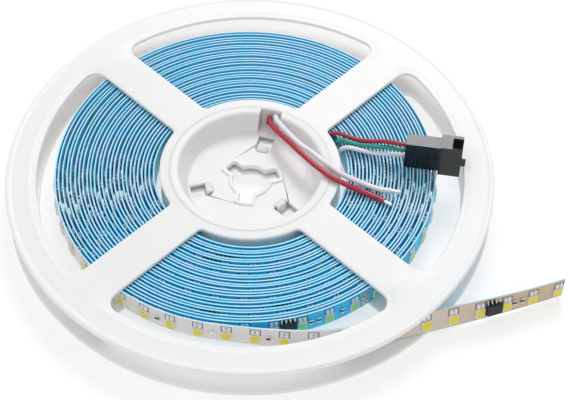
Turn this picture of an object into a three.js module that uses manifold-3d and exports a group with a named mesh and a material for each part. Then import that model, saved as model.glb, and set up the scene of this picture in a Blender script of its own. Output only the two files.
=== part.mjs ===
// A plastic reel wound with LED strip: two moulded halves, the strip with its parts, and two sets of wires.

import * as THREE from 'three';
import { mergeVertices } from 'three/addons/utils/BufferGeometryUtils.js';
import Module from 'manifold-3d';

const wasm = await Module();
wasm.setup();

// Driving dimensions, in millimetres and degrees

// Reel flanges
const FLANGE_RADIUS = 75;
const RIM_WALL = 1.6;
const RIM_BEAD_WIDTH = 1.6;
const RIM_BEAD_RISE = 0.15;
const RIM_STEP_WIDTH = 0.6;
const WEB_RECESS = 0.3;
const WINDOW_BORDER = 1.4;
const WINDOW_OUTER_RADIUS = 65.6;
const WINDOW_INNER_RADIUS = 28;
const WINDOW_OUTER_FILLET = 4;
const WINDOW_INNER_FILLET = 1.6;
const SPOKE_WIDTH = 13;
const SPOKE_COUNT = 4;
const SPOKE_START = 46;
const EDGE_ROUND = 0.5;

// Hub dish, drum and snap hooks
const DISH_RADIUS = 22;
const DISH_LIP_ROUND = 1;
const DISH_FLOOR_RADIUS = 19.6;
const DISH_FLOOR_ROUND = 0.6;
const DISH_DEPTH = 6.8;
const DISH_WALL = 1.2;
const DRUM_RADIUS = 27.3;
const DRUM_WALL = 1.2;
const DRUM_TOP_GAP = 0.2;
const BORE_RADIUS = 5.6;
const KEY_REACH = 9;
const KEY_WIDTH = 4.2;
const KEY_COUNT = 3;
const KEY_START = 18;
const BOSS_WALL = 1.2;
const BOSS_RISE = 0.6;
const SLOT_COUNT = 3;
const SLOT_START = 75;
const SLOT_WIDTH = 5;
const SLOT_INNER_RADIUS = 12.8;
const SLOT_OUTER_RADIUS = 19.2;
const HOOK_WIDTH = 3.4;
const HOOK_WALL = 1.1;
const HOOK_BARB = 0.8;
const HOOK_BARB_HEIGHT = 0.9;
const HOOK_GAP = 0.3;
const NOTCH_WIDTH = 6.8;
const NOTCH_OUTER_RADIUS = 24.4;

// Strip
const STRIP_WIDTH = 8;
const STRIP_THICKNESS = 0.45;
const STRIP_SIDE_GAP = 0.1;
const ROLL_INNER_RADIUS = 29.4;
const ROLL_START_ANGLE = 32;
const ROLL_TURNS = 25;
const ROLL_LEAVE_ANGLE = 262;
const TURN_PITCH = 1.16;
const ROLL_SHIFT = [-1.3, 1.5];
const TAIL_EXIT_ANGLE = -46;
const TAIL_REACH = 43.3;
const TAIL_EXIT_HEADING = 17.5;
const TAIL_END_HEADING = 22;
const TAIL_SWEEP_HANDLE = 28;
const TAIL_LEAN = 14;
const TAIL_END_LIFT = 0.5;
const LED_PITCH = 8.3333;
const LED_END_MARGIN = 1.7;
const TAIL_FACETS = 3;

// Parts soldered to the strip
const LED_LENGTH = 2.8;
const LED_HEIGHT = 3.5;
const LED_DEPTH = 0.7;
const LED_CENTRE_RISE = 3.2;
const LED_CUP_MARGIN = 0.35;
const LED_CUP_DEPTH = 0.1;
const SOLDER_GAP = 0.12;
const TAIL_LEDS = 6;
const FRONT_LEDS = 6;
const FRONT_LED_FIRST = 11;
const CHIP_LENGTH = 4.9;
const CHIP_HEIGHT = 3.9;
const CHIP_DEPTH = 1.4;
const CHIP_CENTRE_RISE = 3.4;
const CHIP_LEG_WIDTH = 0.42;
const CHIP_LEG_REACH = 0.9;
const CHIP_LEG_DEPTH = 0.6;
const CHIP_LEG_PITCH = 1.27;
const CHIP_LEGS_PER_SIDE = 4;
const CHIP_PLACE = 2.5;
const RESISTOR_LENGTH = 1.25;
const RESISTOR_HEIGHT = 2;
const RESISTOR_DEPTH = 0.5;
const RESISTOR_CENTRE_RISE = 4.1;
const TAIL_RESISTOR_PLACES = [1.4, 1.7];
const FRONT_RESISTOR_PLACES = [-0.45, 3.5];
const CAPACITOR_RADIUS = 0.7;
const CAPACITOR_DEPTH = 0.6;
const CAPACITOR_SIDES = 12;
const CAPACITOR_PLACE = 1.5;

// Plug housing
const PLUG_LENGTH = 17.3;
const PLUG_BODY_LENGTH = 10.6;
const PLUG_THICKNESS = 4.6;
const PLUG_HEIGHT = 10.5;
const PLUG_MOUTH_THICKNESS = 5.6;
const PLUG_MOUTH_RISE = 0.9;
const PLUG_MOUTH_DROP = 1.1;
const PLUG_MOUTH_WALL = 0.9;
const PLUG_CHANNEL = 2;
const PLUG_WAY_PITCH = 2.5;
const PLUG_WAYS = 3;
const PLUG_YAW = -8.5;
const PLUG_REST_GAP = 0.2;
const PLUG_PLACE = [47.6, 4];
const LATCH_LENGTH = 3.2;
const LATCH_HEIGHT = 2.6;
const LATCH_DEPTH = 1.2;
const KEY_RIB_LENGTH = 1.3;
const KEY_RIB_HEIGHT = 3.4;
const CONTACT_START = 3;
const CONTACT_BARREL_LENGTH = 4;
const CONTACT_BARREL = 1.6;
const CONTACT_PIN = 0.64;
const CONTACT_PIN_END = 15;

// Wires
const LEAD_DIAMETER = 1.7;
const PLUG_WIRE_DIAMETER = 1.4;
const TIP_DIAMETER = 1;
const TIP_LENGTH = 2.4;
const END_FACE_GAP = 0.3;
const WIRE_SIDES = 8;
const LEAD_STEPS = 22;
const PLUG_WIRE_STEPS = 12;

// Points chosen along each loose wire's centreline
const LEAD_ROUTES = {
  white: [
    [7.3, 23.3, 4.6], [7.3, 23.3, 6.6], [7.35, 23, 8.13], [7.45, 22.13, 9.43], [7.6, 20.83, 10.3],
    [7.95, 19.4, 10.8], [9.3, 16.7, 11.4], [12.7, 11.5, 12.1], [15.6, 7.8, 12.4], [19.1, 4.7, 12.5],
    [22, 1.7, 12.4], [25.4, -1.1, 12.25], [27.8, -3.2, 12.15], [30.4, -4.5, 11.7], [35.1, -6.4, 11],
    [39.7, -8.1, 10.7], [43.3, -8.6, 10.7],
  ],
  red: [
    [5.3, 23.75, 4.6], [5.3, 23.75, 5.3], [5.35, 23.5, 6.75], [5.45, 22.72, 8.03], [5.6, 21.5, 8.88],
    [5.85, 20, 9.3], [6.4, 18.2, 9.75], [7.7, 15.6, 10.4], [10.7, 11.3, 11.4], [14.2, 6.5, 12],
    [17.6, 2.4, 12.2], [20.5, -0.7, 12.15], [23.4, -3.5, 12.2], [26.3, -5.7, 12.2], [29.3, -7.2, 11.75],
    [34.2, -9.2, 10.85], [38.4, -11.2, 10.7], [40.8, -12.7, 10.7],
  ],
};
const PLUG_WIRE_ROUTES = {
  red: [
    [24.3, 14.95, 2.6], [24.3, 14.95, 6], [24.65, 14.8, 7.7], [25.1, 14.55, 9.4], [25.75, 14.3, 10.6],
    [26.75, 13.85, 11.4], [28.1, 13.25, 11.75], [31.3, 11.7, 11.75], [34.3, 10.2, 12.2],
    [37.6, 8.8, 13.5], [40.6, 7.2, 15.4], [42.6, 5.8, 16.7], [44.6, 4.75, 17.4], [46.3, 4.2, 17.65],
    [48.2, 3.9, 17.65], [50.17, 3.62, 17.65],
  ],
  green: [
    [25.8, 11.9, 2.6], [25.8, 11.9, 6], [26.2, 11.75, 7.7], [26.65, 11.55, 9.4], [27.3, 11.3, 10.6],
    [28.3, 10.9, 11.4], [29.6, 10.3, 11.75], [31.2, 9.6, 11.85], [33, 8.8, 12.05], [36.2, 7.6, 12.8],
    [39.6, 6.2, 13.9], [42.2, 5.3, 14.75], [44.4, 4.65, 15.1], [46.3, 4.2, 15.15],
    [48.2, 3.9, 15.15], [50.17, 3.62, 15.15],
  ],
  white: [
    [27, 8.5, 2.6], [27, 8.5, 6], [27.4, 8.4, 7.7], [27.85, 8.3, 9.4], [28.5, 8.15, 10.6],
    [29.5, 7.9, 11.4], [30.9, 7.5, 11.8], [32.8, 7, 11.75], [34.8, 6.5, 11.6], [37, 6, 11.45],
    [39.2, 5.4, 11.75], [41.4, 4.9, 12.2], [43.6, 4.55, 12.55], [45.8, 4.25, 12.65],
    [48, 3.93, 12.65], [50.17, 3.62, 12.65],
  ],
};

const ROUND_SIDES = 64;
const BORE_SIDES = 24;
const WINDOW_OUTER_STEPS = 12;
const WINDOW_INNER_STEPS = 9;
const OUTER_FILLET_STEPS = 5;
const INNER_FILLET_STEPS = 3;

// How far a cut runs past the solid that it goes through, and how near two corners are merged
const CUT_MARGIN = 1;
const WELD_DISTANCE = 1e-4;

const TURN = Math.PI * 2;
const QUARTER = Math.PI / 2;
const radians = THREE.MathUtils.degToRad;

// Heights that follow from the values above

const CAVITY_HEIGHT = STRIP_WIDTH + 2 * STRIP_SIDE_GAP;
const REEL_HEIGHT = CAVITY_HEIGHT + 2 * RIM_WALL;
const UPPER_INNER_Z = REEL_HEIGHT - RIM_WALL;
const UPPER_WEB_Z = REEL_HEIGHT - WEB_RECESS;
const FLOOR_TOP_Z = UPPER_WEB_Z - DISH_DEPTH;
const FLOOR_UNDER_Z = FLOOR_TOP_Z - DISH_WALL;
const STRIP_REST_Z = RIM_WALL + STRIP_SIDE_GAP;
const ROLL_TOP_Z = STRIP_REST_Z + STRIP_WIDTH;
const SPIRAL_SWEEP = TURN * ROLL_TURNS + radians(ROLL_LEAVE_ANGLE - ROLL_START_ANGLE);
const ROLL_OUTER_RADIUS = ROLL_INNER_RADIUS + TURN_PITCH * SPIRAL_SWEEP / TURN;

const MATERIALS = {
  reel: { color: 0xf2f2f1, roughness: 0.42, metalness: 0 },
  strip: { color: 0x58b7e6, roughness: 0.5, metalness: 0 },
  led: { color: 0xe3d64a, roughness: 0.35, metalness: 0 },
  chip: { color: 0x101114, roughness: 0.45, metalness: 0 },
  resistor: { color: 0x1d1b1c, roughness: 0.4, metalness: 0 },
  plug: { color: 0x0b0b0c, roughness: 0.38, metalness: 0 },
  contact: { color: 0xc9b478, roughness: 0.3, metalness: 1 },
  tip: { color: 0xc7c8cb, roughness: 0.35, metalness: 1 },
  red: { color: 0xd3263a, roughness: 0.4, metalness: 0 },
  green: { color: 0x1f9c84, roughness: 0.4, metalness: 0 },
  white: { color: 0xeeecf2, roughness: 0.4, metalness: 0 },
};

const model = new THREE.Group();

function addPiece(name, geometry, material, parent = model) {
  const mesh = new THREE.Mesh(geometry, new THREE.MeshStandardMaterial(MATERIALS[material]));
  mesh.name = name;
  parent.add(mesh);
  return mesh;
}

// Solids

// A closed mesh as a solid: corners in one place are merged, and faces that have lost their area are dropped.
function solidOf(geometry) {
  const bare = geometry.clone();
  bare.deleteAttribute('normal');
  bare.deleteAttribute('uv');
  const merged = mergeVertices(bare, WELD_DISTANCE);
  const index = merged.index.array;
  const faces = [];
  for (let i = 0; i < index.length; i += 3) {
    const [a, b, c] = [index[i], index[i + 1], index[i + 2]];
    if (a !== b && b !== c && c !== a) faces.push(a, b, c);
  }
  return new wasm.Manifold(new wasm.Mesh({
    numProp: 3,
    vertProperties: new Float32Array(merged.attributes.position.array),
    triVerts: new Uint32Array(faces),
  }));
}

function geometryOf(body) {
  const mesh = body.getMesh();
  const geometry = new THREE.BufferGeometry();
  geometry.setAttribute('position', new THREE.BufferAttribute(new Float32Array(mesh.vertProperties), 3));
  geometry.setIndex(new THREE.BufferAttribute(new Uint32Array(mesh.triVerts), 1));
  geometry.computeVertexNormals();
  return geometry;
}

function polar(radius, angle) {
  return new THREE.Vector2(radius * Math.cos(angle), radius * Math.sin(angle));
}

function arcPoints(centre, radius, from, to, steps) {
  const points = [];
  for (let i = 0; i <= steps; i += 1) {
    points.push(polar(radius, from + (to - from) * i / steps).add(centre));
  }
  return points;
}

// A profile of radius and height turned about Z
function turned(profile) {
  const points = profile.map(([radius, z]) => new THREE.Vector2(radius, z));
  return solidOf(new THREE.LatheGeometry(points, ROUND_SIDES).rotateX(QUARTER));
}

function prism(points, low, high) {
  const shape = new THREE.Shape(points);
  const geometry = new THREE.ExtrudeGeometry(shape, { depth: high - low, bevelEnabled: false });
  return solidOf(geometry.translate(0, 0, low));
}

function circlePoints(radius, sides) {
  return Array.from({ length: sides }, (_, i) => polar(radius, TURN * i / sides));
}

function blockGeometry(x0, x1, y0, y1, z0, z1) {
  const box = new THREE.BoxGeometry(x1 - x0, y1 - y0, z1 - z0);
  return box.translate((x0 + x1) / 2, (y0 + y1) / 2, (z0 + z1) / 2);
}

function block(x0, x1, y0, y1, z0, z1) {
  return solidOf(blockGeometry(x0, x1, y0, y1, z0, z1));
}

// A block that reaches from one radius to another, along a direction from the axis
function spokeBlock(inner, outer, width, low, high, angle) {
  const geometry = blockGeometry(inner, outer, -width / 2, width / 2, low, high);
  return solidOf(geometry.rotateZ(angle));
}

function anglesOf(count, start) {
  return Array.from({ length: count }, (_, i) => radians(start) + TURN * i / count);
}

// Reel halves

// One window between two spokes, the first spoke lying along the direction of angle zero
function windowOutline() {
  const half = SPOKE_WIDTH / 2;
  const spread = TURN / SPOKE_COUNT;
  const outerCentre = WINDOW_OUTER_RADIUS - WINDOW_OUTER_FILLET;
  const innerCentre = WINDOW_INNER_RADIUS + WINDOW_INNER_FILLET;
  const outerTurn = Math.asin((half + WINDOW_OUTER_FILLET) / outerCentre);
  const innerTurn = Math.asin((half + WINDOW_INNER_FILLET) / innerCentre);
  const origin = new THREE.Vector2();
  return [
    ...arcPoints(origin, WINDOW_OUTER_RADIUS, outerTurn, spread - outerTurn, WINDOW_OUTER_STEPS),
    ...arcPoints(polar(outerCentre, spread - outerTurn), WINDOW_OUTER_FILLET,
      spread - outerTurn, spread + QUARTER, OUTER_FILLET_STEPS).slice(1),
    ...arcPoints(polar(innerCentre, spread - innerTurn), WINDOW_INNER_FILLET,
      spread + QUARTER, spread - innerTurn + Math.PI, INNER_FILLET_STEPS),
    ...arcPoints(origin, WINDOW_INNER_RADIUS, spread - innerTurn, innerTurn, WINDOW_INNER_STEPS).slice(1),
    ...arcPoints(polar(innerCentre, innerTurn), WINDOW_INNER_FILLET,
      innerTurn + Math.PI, Math.PI + QUARTER, INNER_FILLET_STEPS).slice(1),
    ...arcPoints(polar(outerCentre, outerTurn), WINDOW_OUTER_FILLET,
      Math.PI + QUARTER, TURN + outerTurn, OUTER_FILLET_STEPS).slice(0, -1),
  ];
}

function windowCuts(low, high) {
  const outline = windowOutline();
  return anglesOf(SPOKE_COUNT, SPOKE_START).map((angle) => {
    const centre = new THREE.Vector2();
    return prism(outline.map((point) => point.clone().rotateAround(centre, angle)), low, high);
  });
}

// The keyed bore, widened by a margin: a round hole with lobes for a winder's keys
function keyedBores(margin, low, high) {
  const lobes = anglesOf(KEY_COUNT, KEY_START).map((angle) => (
    spokeBlock(0, KEY_REACH + margin, KEY_WIDTH + 2 * margin, low, high, angle)));
  return [prism(circlePoints(BORE_RADIUS + margin, BORE_SIDES), low, high), ...lobes];
}

// The outer face of a rim in profile, from its edge inwards, with a bead that stands a rise above the rest
function rimProfile(top, rise) {
  const bead = FLANGE_RADIUS - RIM_BEAD_WIDTH;
  const step = WINDOW_OUTER_RADIUS + WINDOW_BORDER;
  return [
    [FLANGE_RADIUS, top - EDGE_ROUND],
    [FLANGE_RADIUS - EDGE_ROUND * (1 - Math.SQRT1_2), top - EDGE_ROUND * (1 - Math.SQRT1_2)],
    [FLANGE_RADIUS - EDGE_ROUND, top],
    [bead, top],
    [bead - rise, top - rise],
    [step + RIM_STEP_WIDTH, top - rise],
    [step, top - WEB_RECESS],
  ];
}

function upperHalf() {
  const lip = DISH_LIP_ROUND;
  const floorRound = DISH_FLOOR_ROUND;
  const body = turned([
    [0, FLOOR_UNDER_Z],
    [DISH_FLOOR_RADIUS + DISH_WALL, FLOOR_UNDER_Z],
    [DISH_RADIUS + DISH_WALL, UPPER_INNER_Z],
    [FLANGE_RADIUS - EDGE_ROUND, UPPER_INNER_Z],
    [FLANGE_RADIUS, UPPER_INNER_Z + EDGE_ROUND],
    ...rimProfile(REEL_HEIGHT, RIM_BEAD_RISE),
    [DISH_RADIUS + lip, UPPER_WEB_Z],
    [DISH_RADIUS + lip * (1 - Math.SQRT1_2), UPPER_WEB_Z - lip * (1 - Math.SQRT1_2)],
    [DISH_RADIUS, UPPER_WEB_Z - lip],
    [DISH_FLOOR_RADIUS + floorRound / 2, FLOOR_TOP_Z + floorRound],
    [DISH_FLOOR_RADIUS, FLOOR_TOP_Z + floorRound / 3],
    [DISH_FLOOR_RADIUS - floorRound, FLOOR_TOP_Z],
    [0, FLOOR_TOP_Z],
  ]);
  const through = [FLOOR_UNDER_Z - CUT_MARGIN, REEL_HEIGHT + CUT_MARGIN];
  const boss = keyedBores(BOSS_WALL, FLOOR_UNDER_Z + DISH_WALL / 2, FLOOR_TOP_Z + BOSS_RISE);
  const slots = anglesOf(SLOT_COUNT, SLOT_START).map((angle) => (
    spokeBlock(SLOT_INNER_RADIUS, SLOT_OUTER_RADIUS, SLOT_WIDTH, ...through, angle)));
  const notch = spokeBlock(DISH_FLOOR_RADIUS - floorRound, NOTCH_OUTER_RADIUS, NOTCH_WIDTH,
    FLOOR_TOP_Z, REEL_HEIGHT + CUT_MARGIN, radians(SLOT_START));
  return wasm.Manifold.union([body, ...boss]).subtract(wasm.Manifold.union([
    ...windowCuts(UPPER_INNER_Z - CUT_MARGIN, REEL_HEIGHT + CUT_MARGIN),
    ...keyedBores(0, ...through),
    ...slots,
    notch,
  ]));
}

function lowerHalf() {
  const mirrored = rimProfile(REEL_HEIGHT, 0).map(([radius, z]) => [radius, REEL_HEIGHT - z]).reverse();
  const drumTop = UPPER_INNER_Z - DRUM_TOP_GAP;
  const body = turned([
    [0, WEB_RECESS],
    ...mirrored,
    [FLANGE_RADIUS, RIM_WALL - EDGE_ROUND],
    [FLANGE_RADIUS - EDGE_ROUND, RIM_WALL],
    [DRUM_RADIUS, RIM_WALL],
    [DRUM_RADIUS, drumTop],
    [DRUM_RADIUS - DRUM_WALL, drumTop],
    [DRUM_RADIUS - DRUM_WALL, RIM_WALL],
    [0, RIM_WALL],
  ]);
  const hookInner = SLOT_INNER_RADIUS + HOOK_GAP;
  const hooks = anglesOf(SLOT_COUNT, SLOT_START).flatMap((angle) => {
    const barbInner = SLOT_INNER_RADIUS - HOOK_BARB;
    const barbLow = FLOOR_TOP_Z + HOOK_GAP / 2;
    const barbTop = barbLow + HOOK_BARB_HEIGHT;
    return [
      spokeBlock(hookInner, hookInner + HOOK_WALL, HOOK_WIDTH, RIM_WALL / 2, barbTop, angle),
      spokeBlock(barbInner, hookInner + HOOK_WALL / 2, HOOK_WIDTH, barbLow, barbTop, angle),
    ];
  });
  const slots = anglesOf(SLOT_COUNT, SLOT_START).map((angle) => (
    spokeBlock(hookInner + HOOK_WALL + HOOK_GAP, SLOT_OUTER_RADIUS, SLOT_WIDTH,
      -CUT_MARGIN, FLOOR_UNDER_Z, angle)));
  const cuts = [
    ...windowCuts(-CUT_MARGIN, RIM_WALL + CUT_MARGIN),
    ...keyedBores(0, -CUT_MARGIN, FLOOR_UNDER_Z),
    ...slots,
  ];
  return wasm.Manifold.union([body, ...hooks]).subtract(wasm.Manifold.union(cuts));
}

addPiece('upper_reel_half', geometryOf(upperHalf()), 'reel');
addPiece('lower_reel_half', geometryOf(lowerHalf()), 'reel');

// Strip: an even spiral that wanders off the axis as it grows, then a curve that runs out between the rims
// and a little way past them

const rollShift = new THREE.Vector2(...ROLL_SHIFT);
const spiralLength = ROLL_INNER_RADIUS * SPIRAL_SWEEP + TURN_PITCH * SPIRAL_SWEEP ** 2 / (2 * TURN);

// The turn reached at a length along the spiral, from length = r a + p a^2 / (4 pi)
function spiralTurn(length) {
  const growth = TURN_PITCH / TURN;
  return (Math.sqrt(ROLL_INNER_RADIUS ** 2 + 2 * growth * length) - ROLL_INNER_RADIUS) / growth;
}

function tailCurve() {
  const leave = polar(ROLL_OUTER_RADIUS, radians(ROLL_LEAVE_ANGLE)).add(rollShift);
  const exit = polar(FLANGE_RADIUS, radians(TAIL_EXIT_ANGLE));
  const along = polar(1, radians(ROLL_LEAVE_ANGLE) + QUARTER);
  const exitWay = polar(1, radians(TAIL_EXIT_HEADING));
  const endWay = polar(1, radians(TAIL_END_HEADING));
  const middleWay = polar(1, radians((TAIL_EXIT_HEADING + TAIL_END_HEADING) / 2));
  const end = exit.clone().addScaledVector(middleWay, TAIL_REACH);
  const lift = (point) => new THREE.Vector3(point.x, point.y, 0);
  const third = TAIL_REACH / 3;
  const curve = new THREE.CurvePath();
  curve.add(new THREE.CubicBezierCurve3(
    lift(leave),
    lift(leave.clone().addScaledVector(along, TAIL_SWEEP_HANDLE)),
    lift(exit.clone().addScaledVector(exitWay, -TAIL_SWEEP_HANDLE)),
    lift(exit),
  ));
  curve.add(new THREE.CubicBezierCurve3(
    lift(exit),
    lift(exit.clone().addScaledVector(exitWay, third)),
    lift(end.clone().addScaledVector(endWay, -third)),
    lift(end),
  ));
  return curve;
}

const tail = tailCurve();
const tailLength = tail.getLength();
const stripLength = spiralLength + tailLength;
const [sweepLength] = tail.getCurveLengths();

// The strip's foot, face normal and upward edge at a length along it
function stripFrame(length) {
  if (length < spiralLength) {
    const turn = spiralTurn(Math.max(length, 0));
    const angle = radians(ROLL_START_ANGLE) + turn;
    const place = polar(ROLL_INNER_RADIUS + TURN_PITCH * turn / TURN, angle)
      .addScaledVector(rollShift, turn / SPIRAL_SWEEP);
    return {
      foot: new THREE.Vector3(place.x, place.y, STRIP_REST_Z),
      normal: new THREE.Vector3(Math.cos(angle), Math.sin(angle), 0),
      up: new THREE.Vector3(0, 0, 1),
    };
  }
  const run = Math.min(length - spiralLength, tailLength);
  const place = tail.getPointAt(run / tailLength);
  const tangent = tail.getTangentAt(run / tailLength);
  const flat = new THREE.Vector3(tangent.y, -tangent.x, 0).normalize();
  const lean = radians(TAIL_LEAN) * Math.sin(Math.PI * run / tailLength) ** 2;
  const past = THREE.MathUtils.clamp((run - sweepLength) / (tailLength - sweepLength), 0, 1);
  const rest = STRIP_REST_Z + STRIP_THICKNESS / 2 * Math.sin(lean);
  return {
    foot: place.clone().setZ(rest + (TAIL_END_LIFT - STRIP_REST_Z) * past),
    normal: flat.clone().multiplyScalar(Math.cos(lean)).setZ(Math.sin(lean)),
    up: flat.clone().multiplyScalar(-Math.sin(lean)).setZ(Math.cos(lean)),
  };
}

// Lengths at the corners of the strip's facets, each LED being in the middle of a facet.
// The tail leans and bends, so it has several facets for each LED, and the roll has one.
function stripStations() {
  const lastLed = stripLength - LED_END_MARGIN;
  const corners = [stripLength];
  const step = LED_PITCH / TAIL_FACETS;
  let length = lastLed + step / 2;
  for (; length > spiralLength; length -= step) corners.push(length);
  const passed = Math.ceil((lastLed - length) / LED_PITCH - 0.5);
  length = lastLed - (passed + 0.5) * LED_PITCH;
  for (; length > 0; length -= LED_PITCH) corners.push(length);
  corners.push(0);
  return corners.reverse();
}

const stations = stripStations();
const frames = stations.map(stripFrame);

function bentStrip() {
  const facets = stations.length - 1;
  const geometry = new THREE.BoxGeometry(facets, STRIP_THICKNESS, STRIP_WIDTH, facets, 1, 1);
  const place = geometry.attributes.position;
  for (let i = 0; i < place.count; i += 1) {
    const frame = frames[Math.round(place.getX(i) + facets / 2)];
    const corner = frame.foot.clone()
      .addScaledVector(frame.normal, -place.getY(i))
      .addScaledVector(frame.up, place.getZ(i) + STRIP_WIDTH / 2);
    place.setXYZ(i, corner.x, corner.y, corner.z);
  }
  return geometryOf(solidOf(geometry));
}

addPiece('led_strip', bentStrip(), 'strip');

// Parts soldered to the strip

// A group whose X runs along the strip, whose Z runs out of its face and whose Y runs up its width.
// It stands at a number of LED pitches before the last LED, and at a rise above the strip's lower edge.
function stripPlace(pitches, rise) {
  const length = stripLength - LED_END_MARGIN - pitches * LED_PITCH;
  const facet = stations.findLastIndex((station) => station <= length);
  const [start, end] = [frames[facet], frames[facet + 1]];
  const along = (length - stations[facet]) / (stations[facet + 1] - stations[facet]);
  const chord = new THREE.Vector3().subVectors(end.foot, start.foot);
  const up = start.up.clone().lerp(end.up, along);
  const normal = new THREE.Vector3().crossVectors(chord, up).normalize();
  const tangent = new THREE.Vector3().crossVectors(up, normal).normalize();
  up.crossVectors(normal, tangent);
  const origin = start.foot.clone().lerp(end.foot, along)
    .addScaledVector(up, rise)
    .addScaledVector(normal, STRIP_THICKNESS / 2 + SOLDER_GAP);
  const holder = new THREE.Group();
  holder.applyMatrix4(new THREE.Matrix4().makeBasis(tangent, up, normal).setPosition(origin));
  model.add(holder);
  return holder;
}

function ledGeometry() {
  const body = block(-LED_LENGTH / 2, LED_LENGTH / 2, -LED_HEIGHT / 2, LED_HEIGHT / 2, 0, LED_DEPTH);
  const cupX = LED_LENGTH / 2 - LED_CUP_MARGIN;
  const cupY = LED_HEIGHT / 2 - LED_CUP_MARGIN;
  return geometryOf(body.subtract(block(-cupX, cupX, -cupY, cupY, LED_DEPTH - LED_CUP_DEPTH,
    LED_DEPTH + CUT_MARGIN)));
}

function chipGeometry() {
  const pieces = [block(-CHIP_LENGTH / 2, CHIP_LENGTH / 2, -CHIP_HEIGHT / 2, CHIP_HEIGHT / 2, 0, CHIP_DEPTH)];
  for (const side of [-1, 1]) {
    for (let leg = 0; leg < CHIP_LEGS_PER_SIDE; leg += 1) {
      const x = (leg - (CHIP_LEGS_PER_SIDE - 1) / 2) * CHIP_LEG_PITCH;
      const y = side * CHIP_HEIGHT / 2;
      const tip = y + side * CHIP_LEG_REACH;
      const root = y - side * CHIP_LEG_WIDTH;
      pieces.push(block(x - CHIP_LEG_WIDTH / 2, x + CHIP_LEG_WIDTH / 2,
        Math.min(tip, root), Math.max(tip, root), 0, CHIP_LEG_DEPTH));
    }
  }
  return geometryOf(wasm.Manifold.union(pieces));
}

function resistorGeometry() {
  return blockGeometry(-RESISTOR_LENGTH / 2, RESISTOR_LENGTH / 2,
    -RESISTOR_HEIGHT / 2, RESISTOR_HEIGHT / 2, 0, RESISTOR_DEPTH);
}

function capacitorGeometry() {
  return new THREE.CylinderGeometry(CAPACITOR_RADIUS, CAPACITOR_RADIUS, CAPACITOR_DEPTH, CAPACITOR_SIDES)
    .rotateX(QUARTER)
    .translate(0, 0, CAPACITOR_DEPTH / 2);
}

for (let i = 0; i < TAIL_LEDS; i += 1) {
  addPiece(`tail_led_${i + 1}`, ledGeometry(), 'led', stripPlace(i, LED_CENTRE_RISE));
}
for (let i = 0; i < FRONT_LEDS; i += 1) {
  addPiece(`front_led_${i + 1}`, ledGeometry(), 'led', stripPlace(FRONT_LED_FIRST + i, LED_CENTRE_RISE));
}
addPiece('driver_chip', chipGeometry(), 'chip', stripPlace(CHIP_PLACE, CHIP_CENTRE_RISE));
TAIL_RESISTOR_PLACES.forEach((pitches, i) => {
  const place = stripPlace(pitches, RESISTOR_CENTRE_RISE);
  addPiece(`tail_resistor_${i + 1}`, resistorGeometry(), 'resistor', place);
});
FRONT_RESISTOR_PLACES.forEach((pitches, i) => {
  const place = stripPlace(FRONT_LED_FIRST + pitches, RESISTOR_CENTRE_RISE);
  addPiece(`front_resistor_${i + 1}`, resistorGeometry(), 'resistor', place);
});
addPiece('front_capacitor', capacitorGeometry(), 'tip',
  stripPlace(FRONT_LED_FIRST + CAPACITOR_PLACE, RESISTOR_CENTRE_RISE));

// The frame's origin is below the middle of the box round the reel and its strip, without the loose wires
const frameBox = new THREE.Box3().setFromObject(model);
const frameCentre = frameBox.getCenter(new THREE.Vector3());

// Plug: its X runs to the mating end, and its ways stand one above another

const plug = new THREE.Group();
plug.position.set(...PLUG_PLACE, ROLL_TOP_Z + PLUG_REST_GAP);
plug.rotation.z = radians(PLUG_YAW);
model.add(plug);

const wayHeights = Array.from({ length: PLUG_WAYS }, (_, way) => (
  PLUG_HEIGHT / 2 + (way - (PLUG_WAYS - 1) / 2) * PLUG_WAY_PITCH));

function plugHousing() {
  const half = PLUG_THICKNESS / 2;
  const mouthHalf = PLUG_MOUTH_THICKNESS / 2;
  const wall = PLUG_MOUTH_WALL;
  const mouthTop = PLUG_HEIGHT + PLUG_MOUTH_RISE;
  const mouthEnd = PLUG_LENGTH + KEY_RIB_LENGTH;
  const latchFoot = mouthTop - wall;
  const latchTop = mouthTop + LATCH_HEIGHT;
  const body = wasm.Manifold.union([
    block(0, PLUG_BODY_LENGTH + wall, -half, half, 0, PLUG_HEIGHT),
    block(PLUG_BODY_LENGTH, PLUG_LENGTH, -mouthHalf, mouthHalf, -PLUG_MOUTH_DROP, mouthTop),
    block(PLUG_LENGTH - LATCH_LENGTH, PLUG_LENGTH, -LATCH_DEPTH / 2, LATCH_DEPTH / 2, latchFoot, latchTop),
    block(PLUG_LENGTH - wall, mouthEnd, -half, -half + wall,
      (PLUG_HEIGHT - KEY_RIB_HEIGHT) / 2, (PLUG_HEIGHT + KEY_RIB_HEIGHT) / 2),
  ]);
  const channels = wayHeights.map((z) => block(-CUT_MARGIN, PLUG_LENGTH - wall,
    -PLUG_CHANNEL / 2, PLUG_CHANNEL / 2, z - PLUG_CHANNEL / 2, z + PLUG_CHANNEL / 2));
  const mouth = block(PLUG_BODY_LENGTH + wall, mouthEnd + CUT_MARGIN, -mouthHalf + wall, mouthHalf - wall,
    wall - PLUG_MOUTH_DROP, mouthTop - wall);
  return body.subtract(wasm.Manifold.union([...channels, mouth]));
}

function contactGeometry() {
  const barrel = CONTACT_BARREL / 2;
  const pin = CONTACT_PIN / 2;
  const barrelEnd = CONTACT_START + CONTACT_BARREL_LENGTH;
  return geometryOf(wasm.Manifold.union([
    block(CONTACT_START, barrelEnd, -barrel, barrel, -barrel, barrel),
    block(barrelEnd - pin, CONTACT_PIN_END, -pin, pin, -pin, pin),
  ]));
}

addPiece('plug_housing', geometryOf(plugHousing()), 'plug', plug);
wayHeights.forEach((z, way) => {
  addPiece(`plug_contact_${way + 1}`, contactGeometry(), 'contact', plug).position.z = z;
});

// Wires

function wireCurve(points) {
  return new THREE.CatmullRomCurve3(points.map((point) => new THREE.Vector3(...point)), false, 'centripetal');
}

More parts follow.
